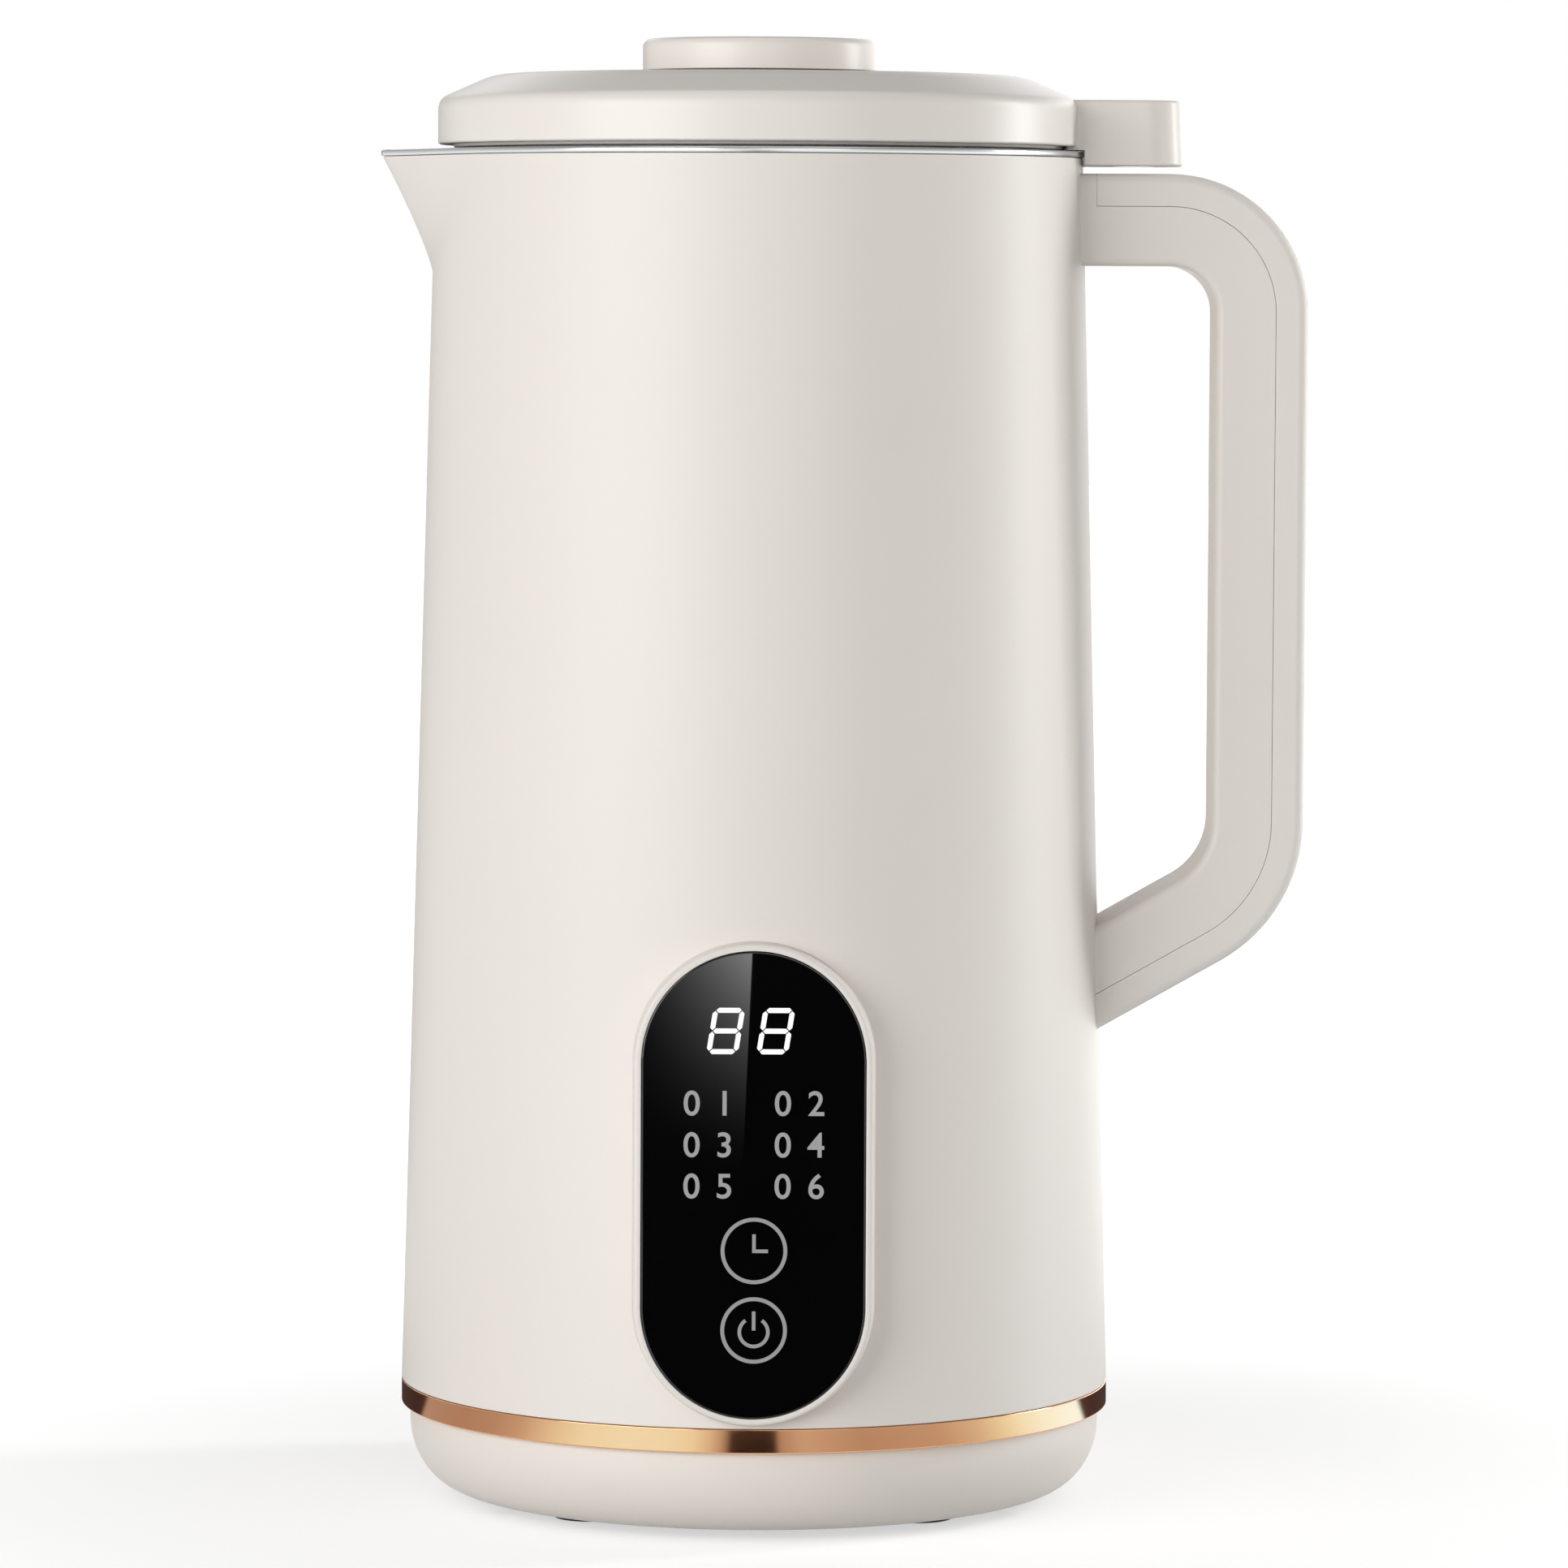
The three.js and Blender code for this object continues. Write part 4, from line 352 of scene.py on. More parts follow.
def only(piece):
    """Selects one piece and nothing else."""
    bpy.ops.object.select_all(action="DESELECT")
    piece.select_set(True)
    bpy.context.view_layer.objects.active = piece


def named(name):
    """The newly added piece, under its own name."""
    piece = bpy.context.object
    piece.name = name
    piece.data.name = name
    return piece


def start_edit(piece, mode="VERT"):
    """Opens a piece for editing, all of it selected."""
    only(piece)
    bpy.ops.object.mode_set(mode="EDIT")
    select_all(mode)


def select_all(mode="VERT"):
    bpy.ops.mesh.select_mode(type=mode)
    bpy.ops.mesh.select_all(action="SELECT")


def new_circle(name, steps, radius, place=(0, 0, 0), fill="NOTHING"):
    """A circle of a radius in millimetres, open for editing."""
    bpy.ops.mesh.primitive_circle_add(vertices=steps, radius=radius * MM, fill_type=fill, location=place)
    piece = named(name)
    start_edit(piece)
    return piece


def flat_ring(name, steps, first, last):
    """A flat ring drawn from one radius to another, open for editing."""
    piece = new_circle(name, steps, first)
    draw_edges()
    widen(last / first)
    return piece


def leave_edit():
    """Turns the faces outwards and closes the piece that is being edited."""
    bpy.ops.mesh.select_all(action="SELECT")
    bpy.ops.mesh.normals_make_consistent(inside=False)
    bpy.ops.object.mode_set(mode="OBJECT")


def pick(piece, rule, kind="verts"):
    """Selects the vertices, edges or faces that a rule holds for, in edit mode."""
    bpy.ops.mesh.select_all(action="DESELECT")
    mesh = bmesh.from_edit_mesh(piece.data)
    for element in getattr(mesh, kind):
        if rule(element):
            element.select_set(True)
    if kind == "verts":
        mesh.select_flush(True)
    else:
        mesh.select_flush_mode()
    bmesh.update_edit_mesh(piece.data)


def place_selected(piece, rule):
    """Moves each selected vertex to where a rule puts it."""
    mesh = bmesh.from_edit_mesh(piece.data)
    for vertex in mesh.verts:
        if vertex.select:
            vertex.co = rule(vertex.co)
    bmesh.update_edit_mesh(piece.data)


def place_in_order(piece, places):
    """Moves the vertices of a new flat piece to their places, one after another."""
    mesh = bmesh.from_edit_mesh(piece.data)
    mesh.verts.ensure_lookup_table()
    for vertex, place in zip(mesh.verts, places):
        vertex.co = place
    bmesh.update_edit_mesh(piece.data)


def draw_edges(rise=0):
    """Extrudes the selected ring of edges, upwards by a rise in millimetres."""
    bpy.ops.mesh.extrude_edges_move(TRANSFORM_OT_translate={"value": (0, 0, rise * MM)})


def widen(share, centre=(0, 0, 0)):
    """Scales what is selected, but not its height."""
    bpy.ops.transform.resize(value=(share, share, 1), center_override=centre)


def draw_faces(x, y, z):
    """Extrudes the selected faces, by a way in millimetres."""
    bpy.ops.mesh.extrude_region_move(TRANSFORM_OT_translate={"value": (x * MM, y * MM, z * MM)})


def round_off(radius, steps, kind="EDGES"):
    """Rounds the selected edges, or the selected corners of a flat piece."""
    bpy.ops.mesh.bevel(offset=radius * MM, segments=steps, affect=kind)


def close_ends(joined):
    """Joins the open first and last rings to each other, or fills each of them."""
    bpy.ops.mesh.select_all(action="DESELECT")
    bpy.ops.mesh.select_non_manifold(
        extend=False, use_wire=False, use_boundary=True, use_multi_face=False,
        use_non_contiguous=False, use_verts=False,
    )
    if joined:
        bpy.ops.mesh.bridge_edge_loops()
    else:
        bpy.ops.mesh.fill_holes(sides=0)


def draw_rings(piece, rules, joined):
    """Shapes the selected ring by the first rule, and draws one more ring from it by each other rule."""
    place_selected(piece, rules[0])
    for rule in rules[1:]:
        draw_edges()
        place_selected(piece, rule)
    close_ends(joined)


def set_down(piece):
    """Closes a piece that is being edited, and fixes it where it is."""
    if bpy.context.object and bpy.context.object.mode == "EDIT":
        leave_edit()
    only(piece)
    bpy.ops.object.transform_apply(location=True, rotation=True, scale=True)
    return piece


def finish_piece(piece, finish, body, replaces=(), angle=30):
    """Gives a piece its smoothness and finish, hangs it on its body's empty, and hides the solids it replaces.
    """
    set_down(piece)
    if angle:
        bpy.ops.object.shade_smooth_by_angle(angle=math.radians(angle))
        even = piece.modifiers.new("even shading", "WEIGHTED_NORMAL")
        even.keep_sharp = True
        bpy.ops.object.modifier_apply(modifier="even shading")
    piece.data.materials.clear()
    piece.data.materials.append(FINISHES.get(finish, finish))
    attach(piece, body)
    if replaces:
        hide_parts(*replaces)


def turned(name, outline, steps, joined=False, foot=0):
    """A turned piece: a circle drawn along an outline of radii and heights over its foot, in millimetres."""
    radius, height = outline[0]
    piece = new_circle(name, steps, radius, point(0, 0, foot + height))
    for (near, low), (far, high) in zip(outline, outline[1:]):
        draw_edges(high - low)
        widen(far / near, point(0, 0, foot + high))
    close_ends(joined)
    return piece


def on_circle(radius, angle):
    return radius * math.cos(angle), radius * math.sin(angle)


def arc(centre, radius, start, end, steps):
    """Points of a circle's arc in an outline, between two angles in degrees."""
    points = []
    for i in range(steps + 1):
        across, up = on_circle(radius, math.radians(start + (end - start) * i / steps))
        points.append((centre[0] + across, centre[1] + up))
    return points


def bend(first, corner, last, steps):
    """Points of a smooth bend between two places, past a corner."""
    points = []
    for i in range(steps + 1):
        t = i / steps
        points.append(tuple(
            (1 - t) ** 2 * a + 2 * t * (1 - t) * b + t ** 2 * c for a, b, c in zip(first, corner, last)
        ))
    return points


def at_places(piece, places):
    """Sets a piece made on the axis at the first of some places, and a copy of it at each other one."""
    pieces = [piece]
    for number in range(2, len(places) + 1):
        copy = piece.copy()
        copy.data = piece.data.copy()
        copy.name = f"{piece.name[:-1]}{number}"
        bpy.context.scene.collection.objects.link(copy)
        pieces.append(copy)
    for each, (x, y) in zip(pieces, places):
        each.data.transform(Matrix.Translation(Vector((x, y, 0)) * MM))
    return pieces


# Cutting, with tools that are used up

def cut_from(piece, tools):
    """Cuts other pieces out of one, and removes them."""
    only(tools[0])
    for tool in tools[1:]:
        tool.select_set(True)
    if len(tools) > 1:
        bpy.ops.object.join()
    tool = bpy.context.object
    only(piece)
    cutter = piece.modifiers.new("cut", "BOOLEAN")
    cutter.operation = "DIFFERENCE"
    cutter.solver = "EXACT"
    cutter.object = tool
    bpy.ops.object.modifier_apply(modifier="cut")
    bpy.data.objects.remove(tool)


def rod_tool(radius, low, high, x=0, y=0, steps=32):
    bpy.ops.mesh.primitive_cylinder_add(
        vertices=steps, radius=radius * MM, depth=(high - low) * MM, location=point(x, y, (low + high) / 2)
    )
    return bpy.context.object


def block_tool(size, centre, turn=0):
    bpy.ops.mesh.primitive_cube_add(size=1)
    tool = bpy.context.object
    tool.matrix_world = (
        Matrix.Translation(point(0, 0, 0)) @ Matrix.Rotation(turn, 4, "Z")
        @ Matrix.Translation(Vector(centre) * MM) @ Matrix.Diagonal((*(Vector(size) * MM), 1))
    )
    return set_down(tool)


# Outline that the shell and the pot share, with its beak

def shell_radius(height):
    share = (height - SHELL_BOTTOM) / (SHELL_TOP - SHELL_BOTTOM)
    return SHELL_FOOT_RADIUS + share * (SHELL_TOP_RADIUS - SHELL_FOOT_RADIUS)


def pot_radius(height):
    straight = POT_FLOOR + POT_CORNER
    share = (height - straight) / (RIM_BOTTOM - straight)
    return POT_FOOT_RADIUS + share * (POT_MOUTH_RADIUS - POT_FOOT_RADIUS)


def beak_half_angle(radius, reach, nose):
    nose_centre = reach - nose
    return math.acos((radius - nose) / nose_centre) if nose_centre > radius - nose else 0


def spouted_radius(angle, radius, reach, nose, inset):
    """Distance from the axis to a round wall with a beak, moved inwards by inset."""
    away = abs(angle)
    half_angle = beak_half_angle(radius, reach, nose)
    if away >= half_angle:
        return radius - inset
    nose_centre = reach - nose
    small_nose = max(nose - inset, 0)
    nose_side = math.atan2(
        small_nose * math.sin(half_angle), nose_centre + small_nose * math.cos(half_angle)
    )
    if small_nose > 0 and away < nose_side:
        across = nose_centre * math.sin(away)
        return nose_centre * math.cos(away) + math.sqrt(small_nose ** 2 - across ** 2)
    return (radius - inset) / math.cos(half_angle - away)


RIM_HALF_ANGLE = beak_half_angle(SHELL_TOP_RADIUS, BEAK_REACH, BEAK_NOSE)


def beak_share(height):
    """How far a height is up the beak, from 0 below it to 1 at the top."""
    return min(max((height - BEAK_START) / (SHELL_TOP - BEAK_START), 0), 1)


def angle_from_beak(place):
    return math.atan2(AXIS.y * MM - place.y, AXIS.x * MM - place.x)


def from_beak(angle, away, height):
    return point(-away * math.cos(angle), -away * math.sin(angle), height)


def ring_rule(height, radius, reach, nose, inset):
    """Puts a vertex on the outline of one height. The rim dips towards the beak's nose."""
    def rule(place):
        angle = angle_from_beak(place)
        bow = (1 + math.cos(math.pi * min(abs(angle), RIM_HALF_ANGLE) / RIM_HALF_ANGLE)) / 2
        away = spouted_radius(angle, radius, reach, nose, inset)
        return from_beak(angle, away, height - BEAK_DIP * beak_share(height) * bow)
    return rule


def shell_rule(height, inset):
    """The shell's outer face at a height, moved inwards."""
    radius = shell_radius(height)
    reach = radius + beak_share(height) ** BEAK_POWER * (BEAK_REACH - radius)
    return ring_rule(height, radius, reach, BEAK_NOSE, inset)


def pot_rule(height, outwards):
    """The pot's inner face at a height, moved outwards."""
    radius = pot_radius(height) + POT_WALL
    inner_reach = BEAK_REACH - SHELL_WALL - POT_BEAK_GAP
    reach = radius + beak_share(height) ** BEAK_POWER * (inner_reach - radius)
    return ring_rule(height, radius, reach, BEAK_NOSE - POT_WALL, POT_WALL - outwards)


def round_rule(height, radius):
    return ring_rule(height, radius, radius, BEAK_NOSE, 0)


def crowd(place):
    """Moves a vertex of the first ring nearer to the beak, where the outline bends most."""
    angle = angle_from_beak(place)
    away = math.hypot(place.x - AXIS.x * MM, place.y - AXIS.y * MM) / MM
    return from_beak(angle - BEAK_CROWDING * math.sin(angle), away, place.z / MM)


def drawn_up(name, rules, steps=240):
    """A skin drawn ring by ring along the shared outline."""
    piece = new_circle(name, steps, SHELL_FOOT_RADIUS)
    bpy.ops.transform.translate(value=point(0, 0, 0))
    place_selected(piece, crowd)
    draw_rings(piece, rules, True)
    return piece


def beak_heights(top, steps):
    """Heights of the rings up the beak, a little closer towards its top."""
    return [BEAK_START + (top - BEAK_START) * (i / steps) ** 0.9 for i in range(steps + 1)]


# Rounded edges of the shell: heights over its foot or its top, and how far inside its outer face
SHELL_FOOT_EDGE = [(0, 0.35), (0.1, 0.1), (0.35, 0)]
SHELL_EDGE = 0.3
SHELL_TOP_EDGE = [(-0.1, 0.08), (0, SHELL_EDGE), (0, SHELL_WALL - 0.2)]
# Heights of the two rings on the shell's plain wall
SHELL_PLAIN_HEIGHTS = [90, 160]
# The pot's rolled rim: heights over its foot, with how far inside the shell's outer face it lies there,
# then how far outside the pot's inner face
RIM_OVER_SHELL = [
    (0, 0.2), (0.05, -0.1), (0.3, -0.25), (0.75, -0.25), (1.0, -0.05),
    (RIM_TOP - RIM_BOTTOM, 0.35), (RIM_TOP - RIM_BOTTOM - 0.1, 0.8), (0.8, 1.2),
]
RIM_INTO_POT = [(0.8, 0.5), (0.65, 0.1), (0.3, 0)]


def make_shell():
    """The jug's outer shell, still without its openings."""
    up = beak_heights(SHELL_TOP - SHELL_EDGE, 18)
    rules = [shell_rule(SHELL_BOTTOM + rise, inset) for rise, inset in SHELL_FOOT_EDGE]
    rules += [shell_rule(height, 0) for height in [*SHELL_PLAIN_HEIGHTS, *up]]
    rules += [shell_rule(SHELL_TOP + rise, inset) for rise, inset in SHELL_TOP_EDGE]
    rules += [shell_rule(height, SHELL_WALL) for height in [*reversed(up), SHELL_BOTTOM]]
    return set_down(drawn_up("jug_shell", rules))


def pot_corner_rules(outwards):
    """The round between the pot's floor and its wall."""
    middle = POT_FOOT_RADIUS - POT_CORNER
    corner = arc((middle, POT_FLOOR + POT_CORNER), POT_CORNER + outwards, -90, 0, 6)
    return [round_rule(height, radius) for radius, height in corner]


def make_pot():
    """The steel pot, up its outer face, over its rolled rim and down its inner face."""
    up = beak_heights(RIM_BOTTOM, 14)
    rules = [round_rule(POT_FLOOR - POT_WALL, POT_HOLE_RADIUS), *pot_corner_rules(POT_WALL)]
    rules += [pot_rule(height, POT_WALL) for height in up]
    rules += [shell_rule(RIM_BOTTOM + rise, inset) for rise, inset in RIM_OVER_SHELL]
    rules += [pot_rule(RIM_BOTTOM + rise, outwards) for rise, outwards in RIM_INTO_POT]
    rules += [pot_rule(height, 0) for height in reversed(up[:-1])]
    rules += [*reversed(pot_corner_rules(0)), round_rule(POT_FLOOR, POT_HOLE_RADIUS)]
    finish_piece(drawn_up("steel_pot", rules), "pot_steel", "jug", replaces=["pot"], angle=40)


shell = make_shell()
make_pot()


# Base cup, its feet and screws, and the trim ring

BASE_ROUND = 8.9
BASE_ROUND_HEIGHT = 11.3
BASE_ROUND_POWER = 1.9
BASE_INNER_RADIUS = 56.9
BASE_FLOOR_RADIUS = 52
BASE_FLOOR = 2.5
BASE_WALL_FOOT = 14.5
VENT_SLOT = (18, 3, 6)
VENT_RADIUS = 21
VENT_COUNT = 16
FOOT_GAP = 0.3
FOOT_ROUND = 0.6
SCREW_PLACES = [on_circle(49, math.radians(angle)) for angle in (30, 150, 210, 330)]
WELL_RADIUS = 3.1
WELL_WALL = 1.1
WELL_BOTTOM, WELL_TOP = 4.2, 14.8
RECESS = (3, 0.6, 1.5)
RECESS_HEIGHT = 11.9
TRIM_INNER_RADIUS = 59.8
SEAM = 0.02


def make_base():
    """The base cup: a wide round, a wall inside it, air slots, screw wells and seats for the feet."""
    bulge = []
    for i in range(17):
        turn = math.pi / 2 * i / 16
        bulge.append((
            BASE_RADIUS - BASE_ROUND + BASE_ROUND * math.sin(turn) ** (2 / BASE_ROUND_POWER),
            BASE_BOTTOM + BASE_ROUND_HEIGHT * (1 - math.cos(turn) ** (2 / BASE_ROUND_POWER)),
        ))
    outline = [
        *bulge,
        (BASE_RADIUS, TRIM_BOTTOM - 0.3),
        (BASE_RADIUS - 0.1, TRIM_BOTTOM - 0.08),
        (BASE_RADIUS - 0.3, TRIM_BOTTOM),
        (BASE_INNER_RADIUS, TRIM_BOTTOM),
        (BASE_INNER_RADIUS, BASE_WALL_FOOT),
        (BASE_FLOOR_RADIUS, BASE_BOTTOM + BASE_FLOOR),
    ]
    base = set_down(turned("base_shell", outline, 160))
    depth = VENT_SLOT[2]
    tools = [
        block_tool(VENT_SLOT, (VENT_RADIUS, 0, depth / 2), 2 * math.pi * i / VENT_COUNT)
        for i in range(VENT_COUNT)
    ]
    tools += [rod_tool(WELL_RADIUS, 0, depth, x, y) for x, y in SCREW_PLACES]
    tools += [rod_tool(FOOT_RADIUS + FOOT_GAP, 0, FOOT_TOP, x, y, 48) for x, y in FOOT_PLACES]
    cut_from(base, tools)
    finish_piece(base, "cream_plastic", "jug", replaces=["base_cup"])


def make_feet():
    """Rubber feet with a rounded edge and a shallow dish."""
    outline = [
        (4.3, 0.35), (4.5, 0.1), (4.8, 0),
        *arc((FOOT_RADIUS - FOOT_ROUND, FOOT_ROUND), FOOT_ROUND, -90, 0, 4),
        (FOOT_RADIUS, FOOT_TOP),
    ]
    foot = set_down(turned("rubber_foot_1", outline, 48))
    for number, piece in enumerate(at_places(foot, FOOT_PLACES), 1):
        finish_piece(piece, "black_rubber", "jug", replaces=[f"foot_{number}"])


def make_base_screws():
    """Pan head screws with a cross recess, deep in the wells of the base."""
    outline = [(2.75, 13.8), (2.75, 12.6), (2.4, 12.1), (1.6, 11.8), (0.6, 11.7)]
    screw = set_down(turned("base_screw_1", outline, 32))
    long, narrow, deep = RECESS
    for size in ((long, narrow, deep), (narrow, long, deep)):
        cut_from(screw, [block_tool(size, (0, 0, RECESS_HEIGHT))])
    for piece in at_places(screw, SCREW_PLACES):
        finish_piece(piece, "plated_steel", "jug")


def make_screw_wells():
    outer = WELL_RADIUS + WELL_WALL
    outline = [(WELL_RADIUS, WELL_BOTTOM), (outer, WELL_BOTTOM), (outer, WELL_TOP), (WELL_RADIUS, WELL_TOP)]
    well = set_down(turned("screw_well_1", outline, 32, True))
    for piece in at_places(well, SCREW_PLACES):
        finish_piece(piece, "cream_plastic", "jug")


def make_trim_ring():
    """The flat band of rose gold, rounded at its upper and lower edge."""
    low_edge, high_edge = 0.25, 0.15
    low, high = TRIM_BOTTOM + SEAM, SHELL_BOTTOM - SEAM
    outline = [
        (TRIM_INNER_RADIUS, low),
        *arc((SHELL_FOOT_RADIUS - low_edge, low + low_edge), low_edge, -90, 0, 4),
        *arc((SHELL_FOOT_RADIUS - high_edge, high - high_edge), high_edge, 0, 90, 3),
        (TRIM_INNER_RADIUS, high),
    ]
    ring = turned("rose_gold_ring", outline, 256, True)
    finish_piece(ring, "rose_gold", "jug", replaces=["trim_ring"], angle=40)


make_base()
make_feet()
make_base_screws()
make_screw_wells()
make_trim_ring()


# Lid, whose shoulder and crown are given as a radius and a height over its foot

CROWN_HEIGHT = 12.7
LID_SKIRT = 53.9
LID_EDGE = 0.5
SHOULDER = (54.4, 8.6)
CROWN = (46.5, 12.1)
SHOULDER_SLOPE = (CROWN[1] - SHOULDER[1]) / (SHOULDER[0] - CROWN[0])
TAB_TOP = LID_BOTTOM + 8.1
TAB_REACH = 73.45
TAB_ROOT = 53.4
TAB_WIDTH = 20.5
TAB_CORNER = 7
TAB_EDGE = 0.6
TAB_SPREAD = 0.5
TRAY_BOTTOM = LID_BOTTOM - 11
TRAY_RADIUS = 48.2
TRAY_RIB = 48.9
TRAY_WALL = 1.8
CAP_HOLE = 18.2
GASKET_BOTTOM = TRAY_BOTTOM + 2.6
GASKET_ROOT = 48.4
GASKET_WAIST = 48.75
GASKET_GAP = 0.6
KNOB_BOTTOM = LID_BOTTOM + CROWN_HEIGHT + 0.3
NECK_BOTTOM = KNOB_BOTTOM - 12
NECK_RADIUS = 16.6
SEAL_LOW, SEAL_HIGH = NECK_BOTTOM + 1.6, NECK_BOTTOM + 4.0


def make_lid_cover():
    """The lid's upper shell: an upright side, a rounded shoulder, a chamfer and a nearly flat crown."""
    shoulder_corner = (LID_RADIUS, SHOULDER[1] - SHOULDER_SLOPE * (LID_RADIUS - SHOULDER[0]))
    outline = [
        (LID_SKIRT, 0),
        *arc((LID_RADIUS - LID_EDGE, LID_EDGE), LID_EDGE, -90, 0, 4),
        *bend((LID_RADIUS, 6.0), shoulder_corner, SHOULDER, 8),
        *bend((CROWN[0] + 2, CROWN[1] - SHOULDER_SLOPE * 2), CROWN, (CROWN[0] - 2, CROWN[1] + 0.05), 7),
        (CAP_HOLE + 0.3, CROWN_HEIGHT), (CAP_HOLE, 12.5), (CAP_HOLE, 10.5), (45.4, 9.9), (LID_SKIRT, 6.4),
    ]
    cover = turned("lid_shell", outline, 256, True, LID_BOTTOM)
    finish_piece(cover, LID_PLASTIC, "lid", ["lid_cover"], 40)


def make_tab():
    """The lid's tab over the handle: a plate with rounded finger corners and soft edges."""
    tab = block_tool(
        (TAB_REACH - TAB_ROOT, TAB_WIDTH, TAB_TOP - TAB_BOTTOM),
        ((TAB_ROOT + TAB_REACH) / 2, 0, (TAB_BOTTOM + TAB_TOP) / 2),
    )
    named("lid_tab")
    root, end = point(TAB_ROOT, 0, 0).x, point(TAB_REACH, 0, 0).x
    start_edit(tab)
    pick(tab, lambda vertex: vertex.co.x > end - MM and vertex.co.z < (TAB_BOTTOM + 1) * MM)
    bpy.ops.transform.translate(value=(TAB_SPREAD * MM, 0, 0))
    bpy.ops.mesh.select_mode(type="EDGE")

    def upright_at_end(edge):
        first, second = (v.co for v in edge.verts)
        return first.x > end - MM and second.x > end - MM and abs(first.z - second.z) > MM

    def level(edge):
        first, second = (v.co for v in edge.verts)
        return abs(first.z - second.z) < 1e-6 and max(first.x, second.x) > root + MM

    pick(tab, upright_at_end, "edges")
    round_off(TAB_CORNER, 10)
    pick(tab, level, "edges")
    round_off(TAB_EDGE, 4)
    bpy.ops.object.mode_set(mode="OBJECT")
    # room for the jug's rim, for the lid's cover and for the magnet
    below = TAB_BOTTOM - 2
    cut_from(tab, [rod_tool(SHELL_TOP_RADIUS + 0.9, below, RIM_TOP + 0.25, steps=256)])
    cut_from(tab, [rod_tool(LID_SKIRT, below, TAB_TOP - 4, steps=128)])
    cut_from(tab, [rod_tool(MAGNET_RADIUS + 0.2, below, TAB_BOTTOM + 3.3, *MAGNET_PLACE)])
    finish_piece(tab, LID_PLASTIC, "lid")


def make_magnet():
    edge = 0.3
    outline = [
        (MAGNET_RADIUS - 0.4, TAB_BOTTOM),
        *arc((MAGNET_RADIUS - edge, TAB_BOTTOM + edge), edge, -90, 0, 3),
        (MAGNET_RADIUS, TAB_BOTTOM + 3.0),
    ]
    magnet = set_down(turned("tab_magnet_disc", outline, 48))
    at_places(magnet, [MAGNET_PLACE])
    finish_piece(magnet, "magnet_nickel", "lid", replaces=["tab_magnet"])


def make_lid_liner():
    """The tray under the lid, with the two ribs that hold the gasket and a flange over the jug's rim."""
    corner, edge, inner = 1.4, 0.3, TRAY_RADIUS - TRAY_WALL
    hub, hub_top, wall_top = CAP_HOLE + TRAY_WALL, 21.2, 19.3
    reach, flange, thick = 53.4, RIM_TOP + 0.3 - TRAY_BOTTOM, 1.6
    outline = [
        (CAP_HOLE, 0.2), (CAP_HOLE + 0.2, 0), *arc((TRAY_RADIUS - corner, corner), corner, -90, 0, 6),
    ]
    for rib in (1.8, 6.6):
        outline += [(TRAY_RADIUS, rib), (TRAY_RIB, rib + 0.1), (TRAY_RIB, rib + 0.7)]
        outline.append((TRAY_RADIUS, rib + 0.8))
    outline += [
        (TRAY_RADIUS, flange), *arc((reach - edge, flange + edge), edge, -90, 0, 3),
        (reach, flange + thick - edge), (reach - edge, flange + thick), (TRAY_RADIUS, flange + thick),
        (TRAY_RADIUS, wall_top), (inner, wall_top), (inner, TRAY_WALL),
        (hub, TRAY_WALL), (hub, hub_top), (CAP_HOLE, hub_top),
    ]
    liner = turned("lid_tray", outline, 192, True, TRAY_BOTTOM)
    finish_piece(liner, "liner_plastic", "lid", replaces=["lid_liner"])


def make_gasket():
    """The tray's gasket, with two lips close to the pot's wall."""
    outer = pot_radius(GASKET_BOTTOM) - GASKET_GAP
    outline = [(GASKET_ROOT, 0), (GASKET_WAIST, 0)]
    for lip in (1.0, 3.0):
        outline += [(outer - 0.1, lip - 0.2), (outer, lip), (outer - 0.1, lip + 0.2), (GASKET_WAIST, lip + 1)]
    outline.append((GASKET_ROOT, 4.0))
    gasket = turned("tray_gasket", outline, 160, True, GASKET_BOTTOM)
    finish_piece(gasket, "silicone", "lid", replaces=["lid_gasket"], angle=50)


def make_vent_cap():
    """The knob with its hollow neck, which has a groove for the seal and four vents above it."""
    bore, throat, ledge, edge = 6, 14.8, 2.2, 1.4
    outline = [
        (bore, KNOB_TOP - ledge), *arc((throat - 0.8, KNOB_TOP - ledge - 0.8), 0.8, 90, 0, 4),
        (throat, NECK_BOTTOM + 0.2), (throat + 0.2, NECK_BOTTOM), (NECK_RADIUS - 0.2, NECK_BOTTOM),
        (NECK_RADIUS, NECK_BOTTOM + 0.2), (NECK_RADIUS, SEAL_LOW), (NECK_RADIUS - 0.5, SEAL_LOW),
        (NECK_RADIUS - 0.5, SEAL_HIGH), (NECK_RADIUS, SEAL_HIGH), (NECK_RADIUS, KNOB_BOTTOM),
        (KNOB_RADIUS - 0.3, KNOB_BOTTOM), (KNOB_RADIUS - 0.05, KNOB_BOTTOM + 0.1),
        (KNOB_RADIUS, KNOB_BOTTOM + 0.35),
        *arc((KNOB_RADIUS - edge, KNOB_TOP - edge), edge, 0, 90, 8),
        (bore, KNOB_TOP),
    ]
    cap = set_down(turned("vent_knob", outline, 160))
    vent, middle = (7.6, 4, 5), (SEAL_HIGH + KNOB_BOTTOM) / 2
    quarters = [math.pi / 4 + math.pi / 2 * i for i in range(4)]
    cut_from(cap, [block_tool(vent, (NECK_RADIUS, 0, middle), turn) for turn in quarters])
    finish_piece(cap, LID_PLASTIC, "cap", ["vent_cap"], 35)


